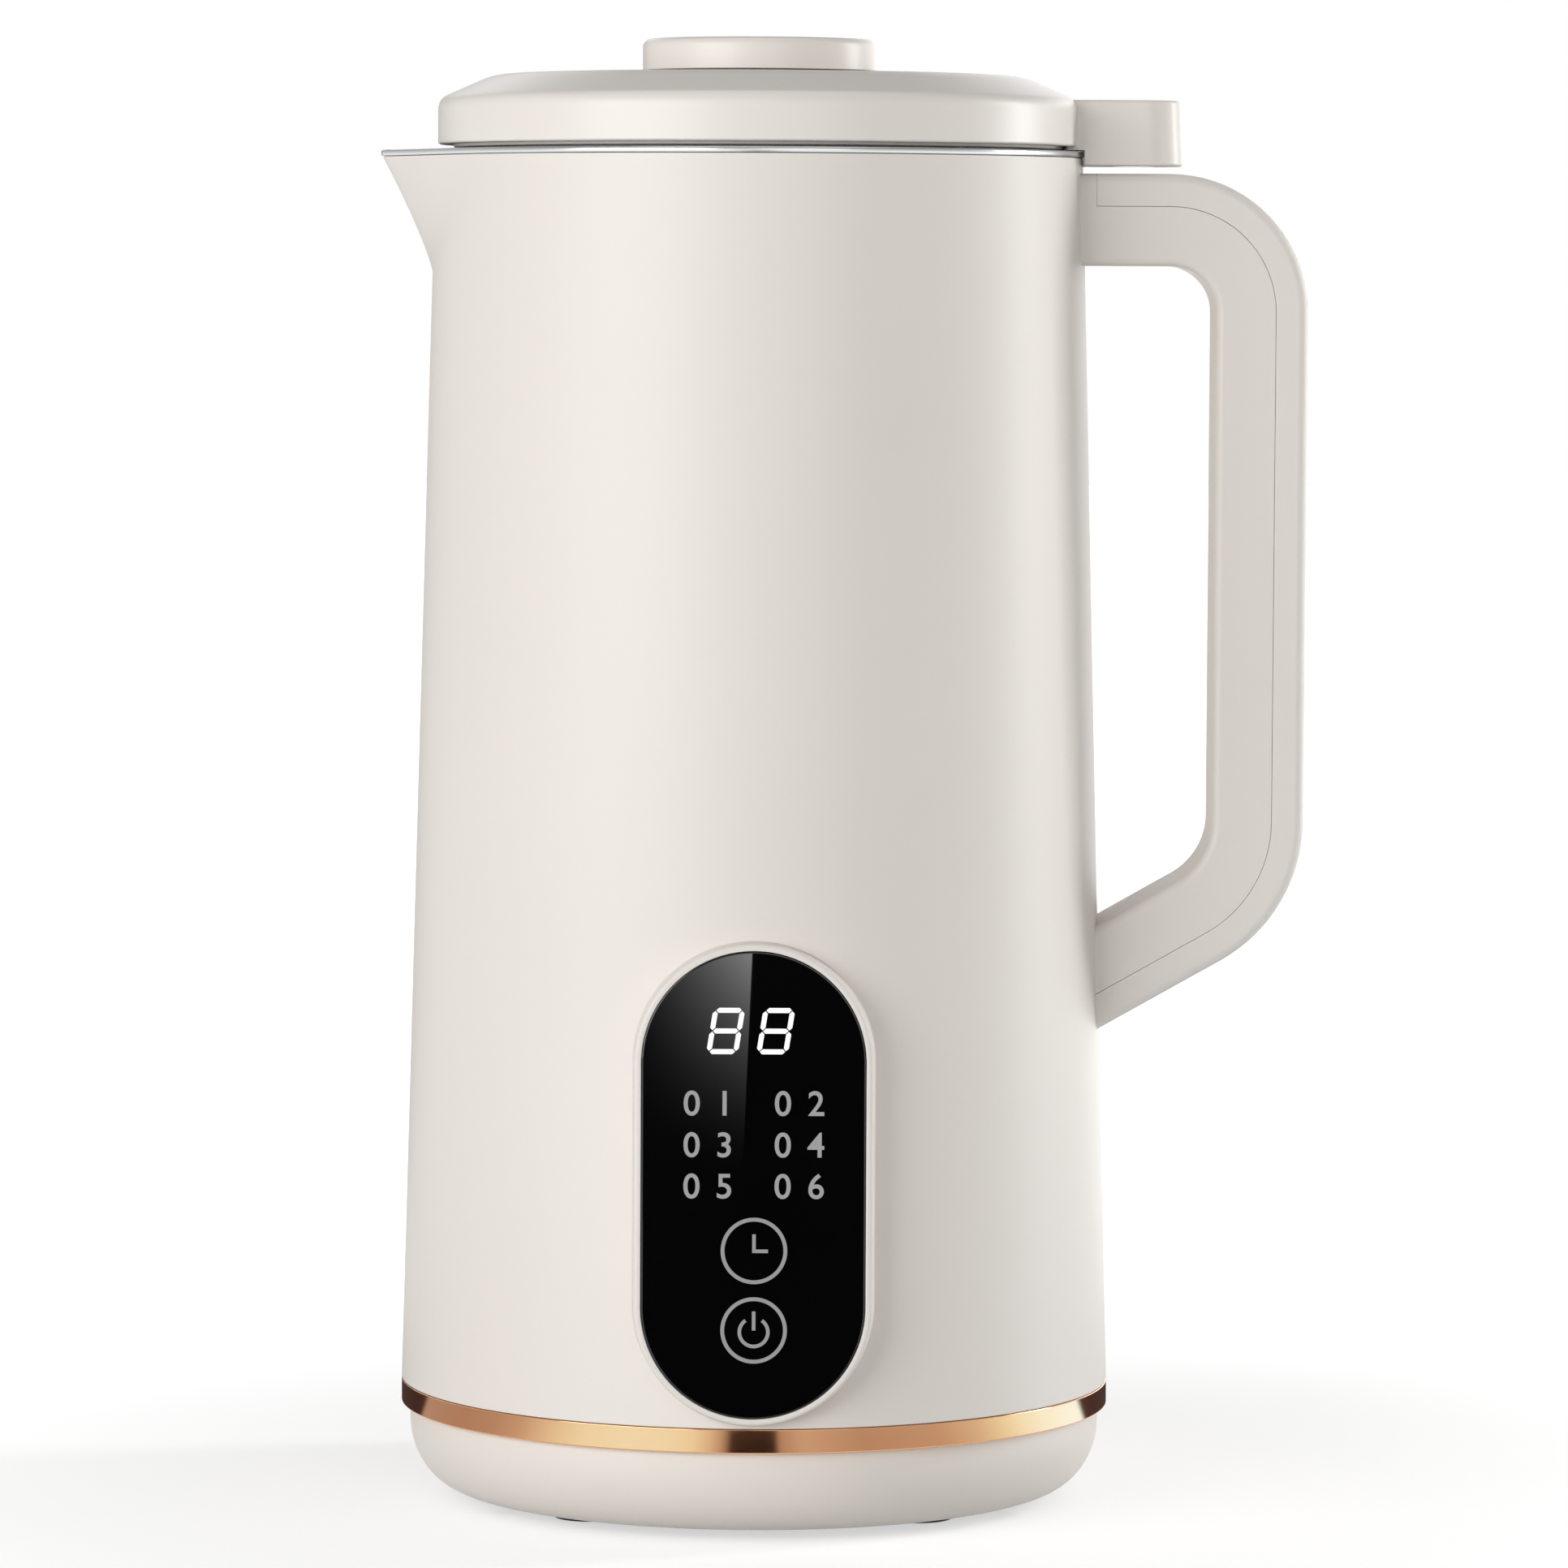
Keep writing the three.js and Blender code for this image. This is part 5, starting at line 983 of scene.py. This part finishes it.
def make_cap_seal():
    inner, middle, lip = NECK_RADIUS - 0.35, NECK_RADIUS + 0.7, 0.6
    outline = [
        (inner, SEAL_LOW), (middle + 0.1, SEAL_LOW), *arc((middle, SEAL_LOW + lip), lip, -90, 0, 3),
        *arc((middle, SEAL_HIGH - lip), lip, 0, 90, 3), (inner, SEAL_HIGH),
    ]
    seal = turned("knob_seal", outline, 96, True)
    finish_piece(seal, "silicone", "cap", replaces=["cap_seal"], angle=50)


make_lid_cover()
make_tab()
make_magnet()
make_lid_liner()
make_gasket()
make_vent_cap()
make_cap_seal()


# Handle

HANDLE_BEND = 24
HANDLE_LOWER_BEND = 28
UPPER_CORNER = (HANDLE_REACH - HANDLE_BEND, HANDLE_TOP - HANDLE_BEND)
LOWER_CORNER = (HANDLE_REACH - HANDLE_LOWER_BEND, 119.7)
LOWER_SLOPE = math.radians(29.5)
LOWER_RUN = 30
HANDLE_ROOT = 58.3
HANDLE_EDGE = 1.8
STRIP_START = 58.65
STRIP_DEPTHS = (0, 5.62)
CHANNEL_DEPTHS = (5.67, 16)
CHANNEL_EDGE = 1.4
SEAM_EDGE = 0.12
COLLAR_START = 55.2
COLLAR_LENGTH = 3.4
COLLAR_DEPTHS = (0, 5.8)


def strap_end(name, depths, start, outer_edge, inner_edge=0):
    """The handle's section between two depths under its outer side, with rounded corners."""
    outer, inner = depths
    middle = HANDLE_TOP - (outer + inner) / 2
    bpy.ops.mesh.primitive_plane_add(size=1, rotation=(0, math.pi / 2, 0))
    piece = named(name)
    piece.scale = Vector((inner - outer, HANDLE_WIDTH, 1)) * MM
    piece.location = point(start, 0, middle)
    set_down(piece)
    start_edit(piece)
    pick(piece, lambda vertex: vertex.co.z > middle * MM)
    round_off(outer_edge, 6, "VERTICES")
    if inner_edge:
        pick(piece, lambda vertex: vertex.co.z < middle * MM)
        round_off(inner_edge, 6 if inner_edge > 1 else 2, "VERTICES")
    select_all("FACE")
    return piece


def turn_down(corner, angle, steps):
    """Draws the selected face round a corner of the handle's way."""
    x, z = corner
    bpy.ops.mesh.spin(steps=steps, angle=-angle, center=point(x, 0, z), axis=(0, 1, 0))


def strap(name, depths, start, outer_edge, inner_edge):
    """A strip of the handle, drawn along the handle's way and cut off where it meets the jug."""
    piece = strap_end(name, depths, start, outer_edge, inner_edge)
    draw_faces(UPPER_CORNER[0] - start, 0, 0)
    turn_down(UPPER_CORNER, math.pi / 2, 20)
    draw_faces(0, 0, LOWER_CORNER[1] - UPPER_CORNER[1])
    turn_down(LOWER_CORNER, math.pi / 2 - LOWER_SLOPE, 16)
    draw_faces(-LOWER_RUN * math.cos(LOWER_SLOPE), 0, -LOWER_RUN * math.sin(LOWER_SLOPE))
    below_bend = (LOWER_CORNER[1] - 1.7) * MM
    pick(piece, lambda face: face.calc_center_median().z < below_bend, "faces")
    bpy.ops.mesh.bisect(
        plane_co=point(HANDLE_ROOT, 0, 0), plane_no=(1, 0, 0), use_fill=True, clear_inner=True
    )
    bpy.ops.mesh.select_mode(type="VERT")
    return piece


def make_handle():
    """The cover strip over the inner channel, and the collar that meets the jug."""
    cover = strap("handle_strip", STRIP_DEPTHS, STRIP_START, HANDLE_EDGE, SEAM_EDGE)
    finish_piece(cover, "cream_plastic", "jug", replaces=["handle_cover"], angle=40)
    inner = strap("handle_channel", CHANNEL_DEPTHS, COLLAR_START, SEAM_EDGE, CHANNEL_EDGE)
    finish_piece(inner, "cream_plastic", "jug", replaces=["handle_inner"], angle=40)
    collar = strap_end("handle_collar", COLLAR_DEPTHS, COLLAR_START, HANDLE_EDGE)
    draw_faces(COLLAR_LENGTH, 0, 0)
    finish_piece(collar, "cream_plastic", "jug", angle=40)


make_handle()


# Touch panel, drawn in its own frame on the shell's front

SHELL_LEAN = math.atan((SHELL_FOOT_RADIUS - SHELL_TOP_RADIUS) / (SHELL_TOP - SHELL_BOTTOM))
PANEL_HEIGHT = 62.2
PANEL_STAND = 3.0
PANEL = (
    Matrix.Translation(point(0, -(shell_radius(PANEL_HEIGHT) + PANEL_STAND), PANEL_HEIGHT))
    @ Matrix.Rotation(math.pi / 2 - SHELL_LEAN, 4, "X")
)
GLASS_RADIUS = 18.9
GLASS_HALF_HEIGHT = 39.4
GLASS_RISE = GLASS_HALF_HEIGHT - GLASS_RADIUS
GLASS_DEPTH = 0.2
PRINT = 0.03
# The panel's rim: outwards from the glass's edge, with depths below its front
BEZEL_FRONT = [
    (0.02, -2.4), (0.02, -0.16), (0.07, -0.04), (0.18, 0), (0.62, 0),
    (0.86, -0.07), (1.05, -0.22), (1.18, -0.46),
]
# and with shares of the way down to the shell
BEZEL_SIDE = [(1.24, 0.35), (1.3, 0.75), (1.4, 0.92), (1.65, 1.0)]
BEZEL_ROOT = 1.2
# The glass: outwards from its edge, and depths below the rim's front
GLASS_EDGE = [(-0.06, -1.8), (-0.06, -0.24), (-0.1, -GLASS_DEPTH), (-0.35, -GLASS_DEPTH)]


def depth_of_shell(x, y):
    """How far the shell's face lies below the panel's front plane, at a place on it."""
    depth = -PANEL_STAND
    for _ in range(8):
        place = PANEL @ (Vector((x, y, depth)) * MM) / MM - AXIS
        away = math.hypot(place.x, place.y)
        depth += (shell_radius(place.z) - away) / (-place.y / away)
    return depth


def stadium_rule(offset, depth):
    """Puts a vertex on a stadium outline, offset from the glass's edge. Depth may follow the shell."""
    def rule(place):
        middle = Vector((0, math.copysign(GLASS_RISE, place.y), 0)) * MM
        out = Vector((place.x - middle.x, place.y - middle.y, 0)).normalized()
        edge = middle + out * (GLASS_RADIUS + offset) * MM
        level = depth(edge.x / MM, edge.y / MM) if callable(depth) else depth
        return Vector((edge.x, edge.y, level * MM))
    return rule


def stadium_piece(name, rules, joined, steps=96):
    """A piece drawn ring by ring along stadium outlines, then set in its place on the panel."""
    piece = new_circle(name, steps, GLASS_RADIUS)
    bpy.ops.transform.rotate(value=math.pi / steps, orient_axis="Z", center_override=(0, 0, 0))
    pick(piece, lambda vertex: vertex.co.y > 0)
    bpy.ops.transform.translate(value=(0, GLASS_RISE * MM, 0))
    pick(piece, lambda vertex: vertex.co.y < 0)
    bpy.ops.transform.translate(value=(0, -GLASS_RISE * MM, 0))
    select_all()
    draw_rings(piece, rules, joined)
    leave_edit()
    piece.matrix_world = PANEL
    return piece


def bezel_side(share):
    """Depth of the rim's side, from its front plane down to the shell by a share."""
    return lambda x, y: share * (depth_of_shell(x, y) - 0.1)


def bezel_root(x, y):
    return depth_of_shell(x, y) - BEZEL_ROOT


def make_panel():
    """The raised rim, which ends in the shell, and the glass just below its front."""
    rules = [stadium_rule(offset, depth) for offset, depth in BEZEL_FRONT]
    rules += [stadium_rule(offset, bezel_side(share)) for offset, share in BEZEL_SIDE]
    rules.append(stadium_rule(BEZEL_SIDE[-1][0], bezel_root))
    rules.append(stadium_rule(BEZEL_FRONT[0][0], lambda x, y: min(bezel_root(x, y), -PANEL_STAND)))
    bezel = stadium_piece("panel_rim", rules, True)
    finish_piece(bezel, "cream_plastic", "jug", replaces=["panel_bezel"], angle=50)
    rules = [stadium_rule(offset, depth) for offset, depth in GLASS_EDGE]
    glass = stadium_piece("panel_window", rules, False)
    finish_piece(glass, "black_glass", "jug", replaces=["panel_glass"], angle=50)


def finish_marking(piece, finish):
    """Lays a flat marking on the glass."""
    bpy.context.view_layer.update()
    piece.matrix_world = PANEL @ Matrix.Translation((0, 0, -GLASS_DEPTH * MM)) @ piece.matrix_world
    finish_piece(piece, finish, "jug", angle=0)


def marking(name, outline, finish):
    """A flat marking of one outline on the glass."""
    piece = new_circle(name, len(outline), 1, fill="NGON")
    place_in_order(piece, [Vector((x, y, 0)) * MM for x, y in outline])
    draw_faces(0, 0, PRINT)
    leave_edit()
    finish_marking(piece, finish)


def make_digit(name, x, y):
    """A lit figure of seven strokes, leaning to the right."""
    width, height, half, gap, slant = 5.35, 7.8, 0.425, 0.12, math.tan(math.radians(9))
    left, right, low, middle, high = half, width - half, half, height / 2, height - half
    strokes = [((left, level), (right, level)) for level in (low, middle, high)]
    strokes += [((side, low), (side, middle)) for side in (left, right)]
    strokes += [((side, middle), (side, high)) for side in (left, right)]
    for number, (start, end) in enumerate(strokes, 1):
        start, end = Vector(start), Vector(end)
        along = (end - start).normalized()
        side = Vector((-along.y, along.x)) * half
        start, end, taper = start + along * gap, end - along * gap, along * half
        outline = [
            start, start + taper + side, end - taper + side, end, end - taper - side, start + taper - side,
        ]
        marking(f"{name}_stroke_{number}", [(x + px + slant * py, y + py) for px, py in outline], LIT_DIGIT)


def make_label(name, figure, x, y):
    """One plain figure, centred on its place."""
    bpy.ops.object.text_add()
    text = bpy.context.object
    text.data.body = figure
    text.data.size = LABEL_SIZE * MM
    text.data.align_x = "CENTER"
    text.data.align_y = "CENTER"
    text.data.extrude = PRINT / 2 * MM
    text.data.offset = LABEL_WEIGHT * MM
    bpy.ops.object.convert(target="MESH")
    piece = named(name)
    start_edit(piece)
    bpy.ops.mesh.remove_doubles(threshold=1e-7)
    bpy.ops.object.mode_set(mode="OBJECT")
    piece.location = Vector((x, y, PRINT / 2)) * MM
    finish_marking(piece, LIT_LABEL)


def key_ring(name, x, y):
    piece = flat_ring(name, 64, *KEY_RING)
    select_all()
    draw_faces(0, 0, PRINT)
    leave_edit()
    piece.location = Vector((x, y, 0)) * MM
    finish_marking(piece, LIT_KEY)


def key_line(name, first, second):
    first, second = Vector(first), Vector(second)
    along = (second - first).normalized()
    side = Vector((-along.y, along.x)) * KEY_LINE / 2
    marking(name, [first - side, second - side, second + side, first + side], LIT_KEY)


# Places on the glass, in millimetres right of and above its middle, and sizes of what stands there
DIGIT_PLACES = {"digit_left": (-8.05, 22.1), "digit_right": (0.35, 22.1)}
LABEL_COLUMNS = [(-10.4, -4.9), (4.9, 10.5)]
LABEL_ROWS = [13.6, 6.6, -0.35]
LABEL_SIZE = 5.9
LABEL_WEIGHT = 0.06
KEY_MIDDLE = 0.14
KEY_RING = (5.6, 4.95)
KEY_LINE = 0.6
POWER_ARC = (2.7, 2.1)


def make_markings():
    for name, place in DIGIT_PLACES.items():
        make_digit(name, *place)
    places = [(y, column) for y in LABEL_ROWS for column in LABEL_COLUMNS]
    for number, (y, column) in enumerate(places, 1):
        for order, figure, x in zip(("first", "second"), f"{number:02d}", column):
            make_label(f"label_{number}_{order}", figure, x, y)
    key_ring("timer_key_ring", KEY_MIDDLE, -11.0)
    key_line("timer_key_hand_long", (KEY_MIDDLE, -11.35), (KEY_MIDDLE, -8.2))
    key_line("timer_key_hand_short", (-0.1, -11.05), (2.5, -11.05))
    key_ring("power_key_ring", KEY_MIDDLE, -24.4)
    outer, inner = (arc((KEY_MIDDLE, -24.7), radius, 125, 415, 64) for radius in POWER_ARC)
    marking("power_key_arc", outer + inner[::-1], LIT_KEY)
    key_line("power_key_bar", (KEY_MIDDLE, -24.4), (KEY_MIDDLE, -21.2))


# The shell's openings, behind the panel, round the inlet and for the handle's screws

NECK_INSET = 1.6
NECK_DEPTHS = (-1, -12)
INLET_OPENING = (27.1, 12, 20.1)
INLET_PLACE = (0, 61, 41.2)
SCREW_HEIGHTS = (97.99, 219.6)
SCREW_OPENING = (12, 4.2, 4.2)
SCREW_CORNER = 1.2


def screw_tool(height):
    """A rod with rounded long edges through the shell's wall on the handle's side."""
    tool = block_tool(SCREW_OPENING, (shell_radius(height), 0, height))
    start_edit(tool, "EDGE")
    pick(tool, lambda edge: abs(edge.verts[0].co.x - edge.verts[1].co.x) > MM, "edges")
    round_off(SCREW_CORNER, 6)
    return set_down(tool)


def open_shell():
    """Cuts the shell's openings one after another, and finishes it."""
    neck = stadium_piece("neck_tool", [stadium_rule(-NECK_INSET, depth) for depth in NECK_DEPTHS], False)
    cut_from(shell, [neck])
    cut_from(shell, [block_tool(INLET_OPENING, INLET_PLACE)])
    for height in SCREW_HEIGHTS:
        cut_from(shell, [screw_tool(height)])
    finish_piece(shell, "cream_plastic", "jug", replaces=["outer_shell"], angle=40)


make_panel()
make_markings()
open_shell()


# What stays as the frame gives it

WELD_REACH = 0.005
SOLID_EDGE = 32


def dress_solids():
    """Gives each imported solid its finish, and smooths those that show within their edges."""
    slots = {part["node"]: part["material_slot"] for part in frame["record"]["subparts"]}
    for name, node in frame["nodes"].items():
        node.data.materials.clear()
        node.data.materials.append(FINISHES[slots[name]])
        if node.hide_render:
            continue
        node.data.polygons.foreach_set("use_smooth", [True] * len(node.data.polygons))
        weld = node.modifiers.new("weld", "WELD")
        weld.merge_threshold = WELD_REACH * MM
        split = node.modifiers.new("edges", "EDGE_SPLIT")
        split.split_angle = math.radians(SOLID_EDGE)


dress_solids()


# Studio: a plain floor, soft lights, and cards that only polished surfaces see. The floor is in metres.

FLOOR_GREY = 0.66
FLOOR_SIZE = 12
# Metres from the jug's axis over which the floor's glow fades in; nearer the jug it is left out, a painted
# shade round the jug
PAINTED_FLOOR_SHADE = (0.08, 0.4)
FLOOR_SHADE_LIGHT = 0.55
CARD_LEVEL = 1
RING_CARD = (118, 225)
# What the trim ring mirrors from the floor: degrees round the jug (0 is the front) and how bright it is
RING_VIEW = [
    (-180, 0.4), (-158, 0.3), (-150, 0.05), (-113, 0.04), (-111, 0.5), (-90, 0.48), (-76, 0.55), (-67, 0.7),
    (-56, 1.2), (-46, 1.55), (-34, 1.66), (-22, 1.6), (-15.5, 1.45), (-11, 1.02), (-7.5, 0.55), (-5.8, 0.03),
    (5.6, 0.02), (6.6, 0.5), (13, 0.76), (29, 0.56), (51, 0.67), (64, 1.0), (73, 1.45), (80, 1.75),
    (90, 2.0), (100, 2.05), (110, 2.0), (112, 0.05), (150, 0.05), (158, 0.3), (180, 0.4),
]
RING_GLOW = 3.8
# The card in the panel's glass: its upright stretch, and how far it brightens to the right and upwards
GLASS_CARD = [(-40, -460, 26), (-4.4, -460, 26), (-40, -460, 96), (-1.6, -460, 96)]
GLASS_CARD_SIDES = (-28, -2)
GLASS_CARD_HEIGHTS = (30, 84)
GLASS_CARD_GLOW = 4.6
GLASS_CARD_LEFT_SHARE = 0.2
# Soft boxes: degrees round the jug (0 is the front, 90 the handle's side) and upwards, then distance,
# width and height in metres, and power in watts
LAMPS = {
    "main_box": (-42, 7, 1.6, 1.3, 1.2, 20),
    "front_fill": (16, 14, 1.8, 1.0, 0.8, 2.4),
    "side_strip": (105, 8, 1.1, 0.16, 0.9, 7.4),
}
LAMP_TARGET = 130
HORIZON_LIGHT = 0.68
ZENITH_LIGHT = 0.22


def stage_finish(name, grey=0.0, light=0.0, strength=1.0):
    """Plain matt surface with a light of its own."""
    return Finish(
        name, (grey, grey, grey), Roughness=0.9, Specular_IOR_Level=0.0,
        Emission_Color=(light, light, light, 1), Emission_Strength=strength,
    )


def make_floor():
    """White to the camera and in mirrors, with painted shade round the jug: its glow fades out towards the
    jug, so the floor there is greyer on top of its real shadow. Seen from below it is clear.
    """
    bpy.ops.mesh.primitive_plane_add(size=1)
    floor = named("studio_floor")
    start_edit(floor)
    widen(FLOOR_SIZE)
    bpy.ops.mesh.subdivide(number_cuts=6)
    bpy.ops.object.mode_set(mode="OBJECT")
    finish = stage_finish("white floor", FLOOR_GREY)
    seen = finish.ray("Is Camera Ray") + finish.ray("Is Glossy Ray")
    away = finish.value("ShaderNodeVectorMath", {"operation": "LENGTH"}, {0: finish.place}, "Value")
    # The glow fades out towards the jug: painted shade round its foot, over the real shadow the lamps cast
    glow = finish.ranged(away, *PAINTED_FLOOR_SHADE, FLOOR_SHADE_LIGHT, interpolation_type="SMOOTHSTEP")
    finish.feed("Emission Color", glow * seen)
    shown = finish.value("ShaderNodeMixShader", {}, {
        0: finish.value("ShaderNodeNewGeometry", {}, {}, "Backfacing"),
        1: Value(finish, finish.shader.outputs[0]),
        2: finish.value("ShaderNodeBsdfTransparent", {}, {}),
    })
    finish.link(shown, finish.tree.nodes["Material Output"], "Surface")
    floor.data.materials.append(finish.material)


def lay_card(card, finish):
    """Gives a card its finish, and leaves it to reflections alone."""
    card.data.materials.append(finish.material)
    for ray in ("camera", "diffuse", "shadow", "transmission", "volume_scatter"):
        setattr(card, f"visible_{ray}", False)


def flat_card(name, corners):
    bpy.ops.mesh.primitive_plane_add(size=1)
    card = named(name)
    start_edit(card)
    place_in_order(card, [point(*corner) for corner in corners])
    bpy.ops.object.mode_set(mode="OBJECT")
    return card


def upright(left, right, low, high):
    """Corners of an upright card."""
    return [(*left, low), (*right, low), (*left, high), (*right, high)]


def lying(near, far, height):
    """Corners of a card that lies level, from half the width and the place of its near and far edge."""
    return [(side * half, back, height) for half, back in (near, far) for side in (-1, 1)]


# Flat cards of one grey level
CARDS = {
    "front_card": (lying((22, -250), (78, -2600), CARD_LEVEL), 0.0),
    "left_flag": (upright((-290, 330), (-60, 480), 0, 420), 0.3),
    "left_high_card": (upright((-160, 300), (-60, 300), 330, 430), 2.2),
    "right_card": (upright((60, 480), (340, 260), 0, 420), 2.2),
    "right_high_card": (upright((60, 300), (160, 300), 330, 430), 2.0),
    "high_flag": (upright((-200, 420), (200, 420), 540, 1000), 0.0),
    "top_card": (lying((400, -400), (400, 400), 1200), 1.4),
}


def mirrored_tone(level):
    """The gold pales as it nears white, so the card turns bluer where it is brightest."""
    blue = level * (1 + 0.55 * max(level - 1.45, 0))
    return dimmed((2.2 * level / (level + 1.4), level, blue), 1 / RING_GLOW)


def make_ring_card():
    """A flat ring on the floor whose light varies round the jug."""
    card = flat_ring("ring_card", 96, *RING_CARD)
    bpy.ops.object.mode_set(mode="OBJECT")
    card.location = point(0, 0, CARD_LEVEL)
    finish = stage_finish("ring card finish", strength=RING_GLOW)
    across, back, _ = finish.parts(finish.place)
    turn = finish.value("ShaderNodeMath", {"operation": "ARCTAN2"}, {0: across, 1: -1 * back})
    stops = [((degrees + 180) / 360, mirrored_tone(level)) for degrees, level in RING_VIEW]
    tone = finish.value("ShaderNodeValToRGB", {"stops": stops}, {0: turn * (0.5 / math.pi) + 0.5})
    finish.feed("Emission Color", tone)
    lay_card(card, finish)


def make_glass_card():
    """A pale card whose mirror image lies in the upper left of the panel's glass."""
    finish = stage_finish("glass card finish")
    across, _, up = finish.parts(finish.place)
    left, right = (point(x, 0, 0).x for x in GLASS_CARD_SIDES)
    low, high = (z * MM for z in GLASS_CARD_HEIGHTS)
    side = finish.ranged(across, left, right, GLASS_CARD_LEFT_SHARE)
    height = finish.ranged(up, low, high)
    finish.feed("Emission Color", GLASS_CARD_GLOW * (side * side) * (height * height * height))
    lay_card(flat_card("glass_card", GLASS_CARD), finish)


def make_lamp(name, azimuth, elevation, distance, width, height, power):
    """A soft box that faces the jug."""
    lamp = bpy.data.lights.new(name, "AREA")
    lamp.shape = "RECTANGLE"
    lamp.size, lamp.size_y = width, height
    lamp.energy = power
    box = bpy.data.objects.new(name, lamp)
    bpy.context.scene.collection.objects.link(box)
    turn, rise = math.radians(azimuth), math.radians(elevation)
    away = Vector((
        math.sin(turn) * math.cos(rise), -math.cos(turn) * math.cos(rise), math.sin(rise)
    )) * distance
    box.location = point(0, 0, LAMP_TARGET) + away
    box.rotation_mode = "QUATERNION"
    box.rotation_quaternion = (-away).to_track_quat("-Z", "Y")


def make_world():
    """Soft light from all round, white to the camera and brighter in mirrors than on matt surfaces."""
    world = bpy.data.worlds.new("studio")
    bpy.context.scene.world = world
    world.use_nodes = True
    nodes = Nodes(world.node_tree)
    background = nodes.tree.nodes["Background"]
    background.inputs["Color"].default_value = (1, 1, 1, 1)
    _, _, up = nodes.parts(nodes.value("ShaderNodeTexCoord", {}, {}, "Generated"))
    sky = nodes.ranged(up, 0.0, 0.7, HORIZON_LIGHT, ZENITH_LIGHT)
    mirrored = nodes.ray("Is Glossy Ray") * (1 / HORIZON_LIGHT - 1) + 1
    level = nodes.ranged(nodes.ray("Is Camera Ray"), 0.0, 1.0, sky * mirrored)
    nodes.link(level, background, "Strength")


make_floor()
make_ring_card()
make_glass_card()
for name, (corners, light) in CARDS.items():
    lay_card(flat_card(name, corners), stage_finish(name + " finish", light=light))
for name, sizes in LAMPS.items():
    make_lamp(name, *sizes)
make_world()

bpy.context.scene.view_settings.view_transform = "Standard"
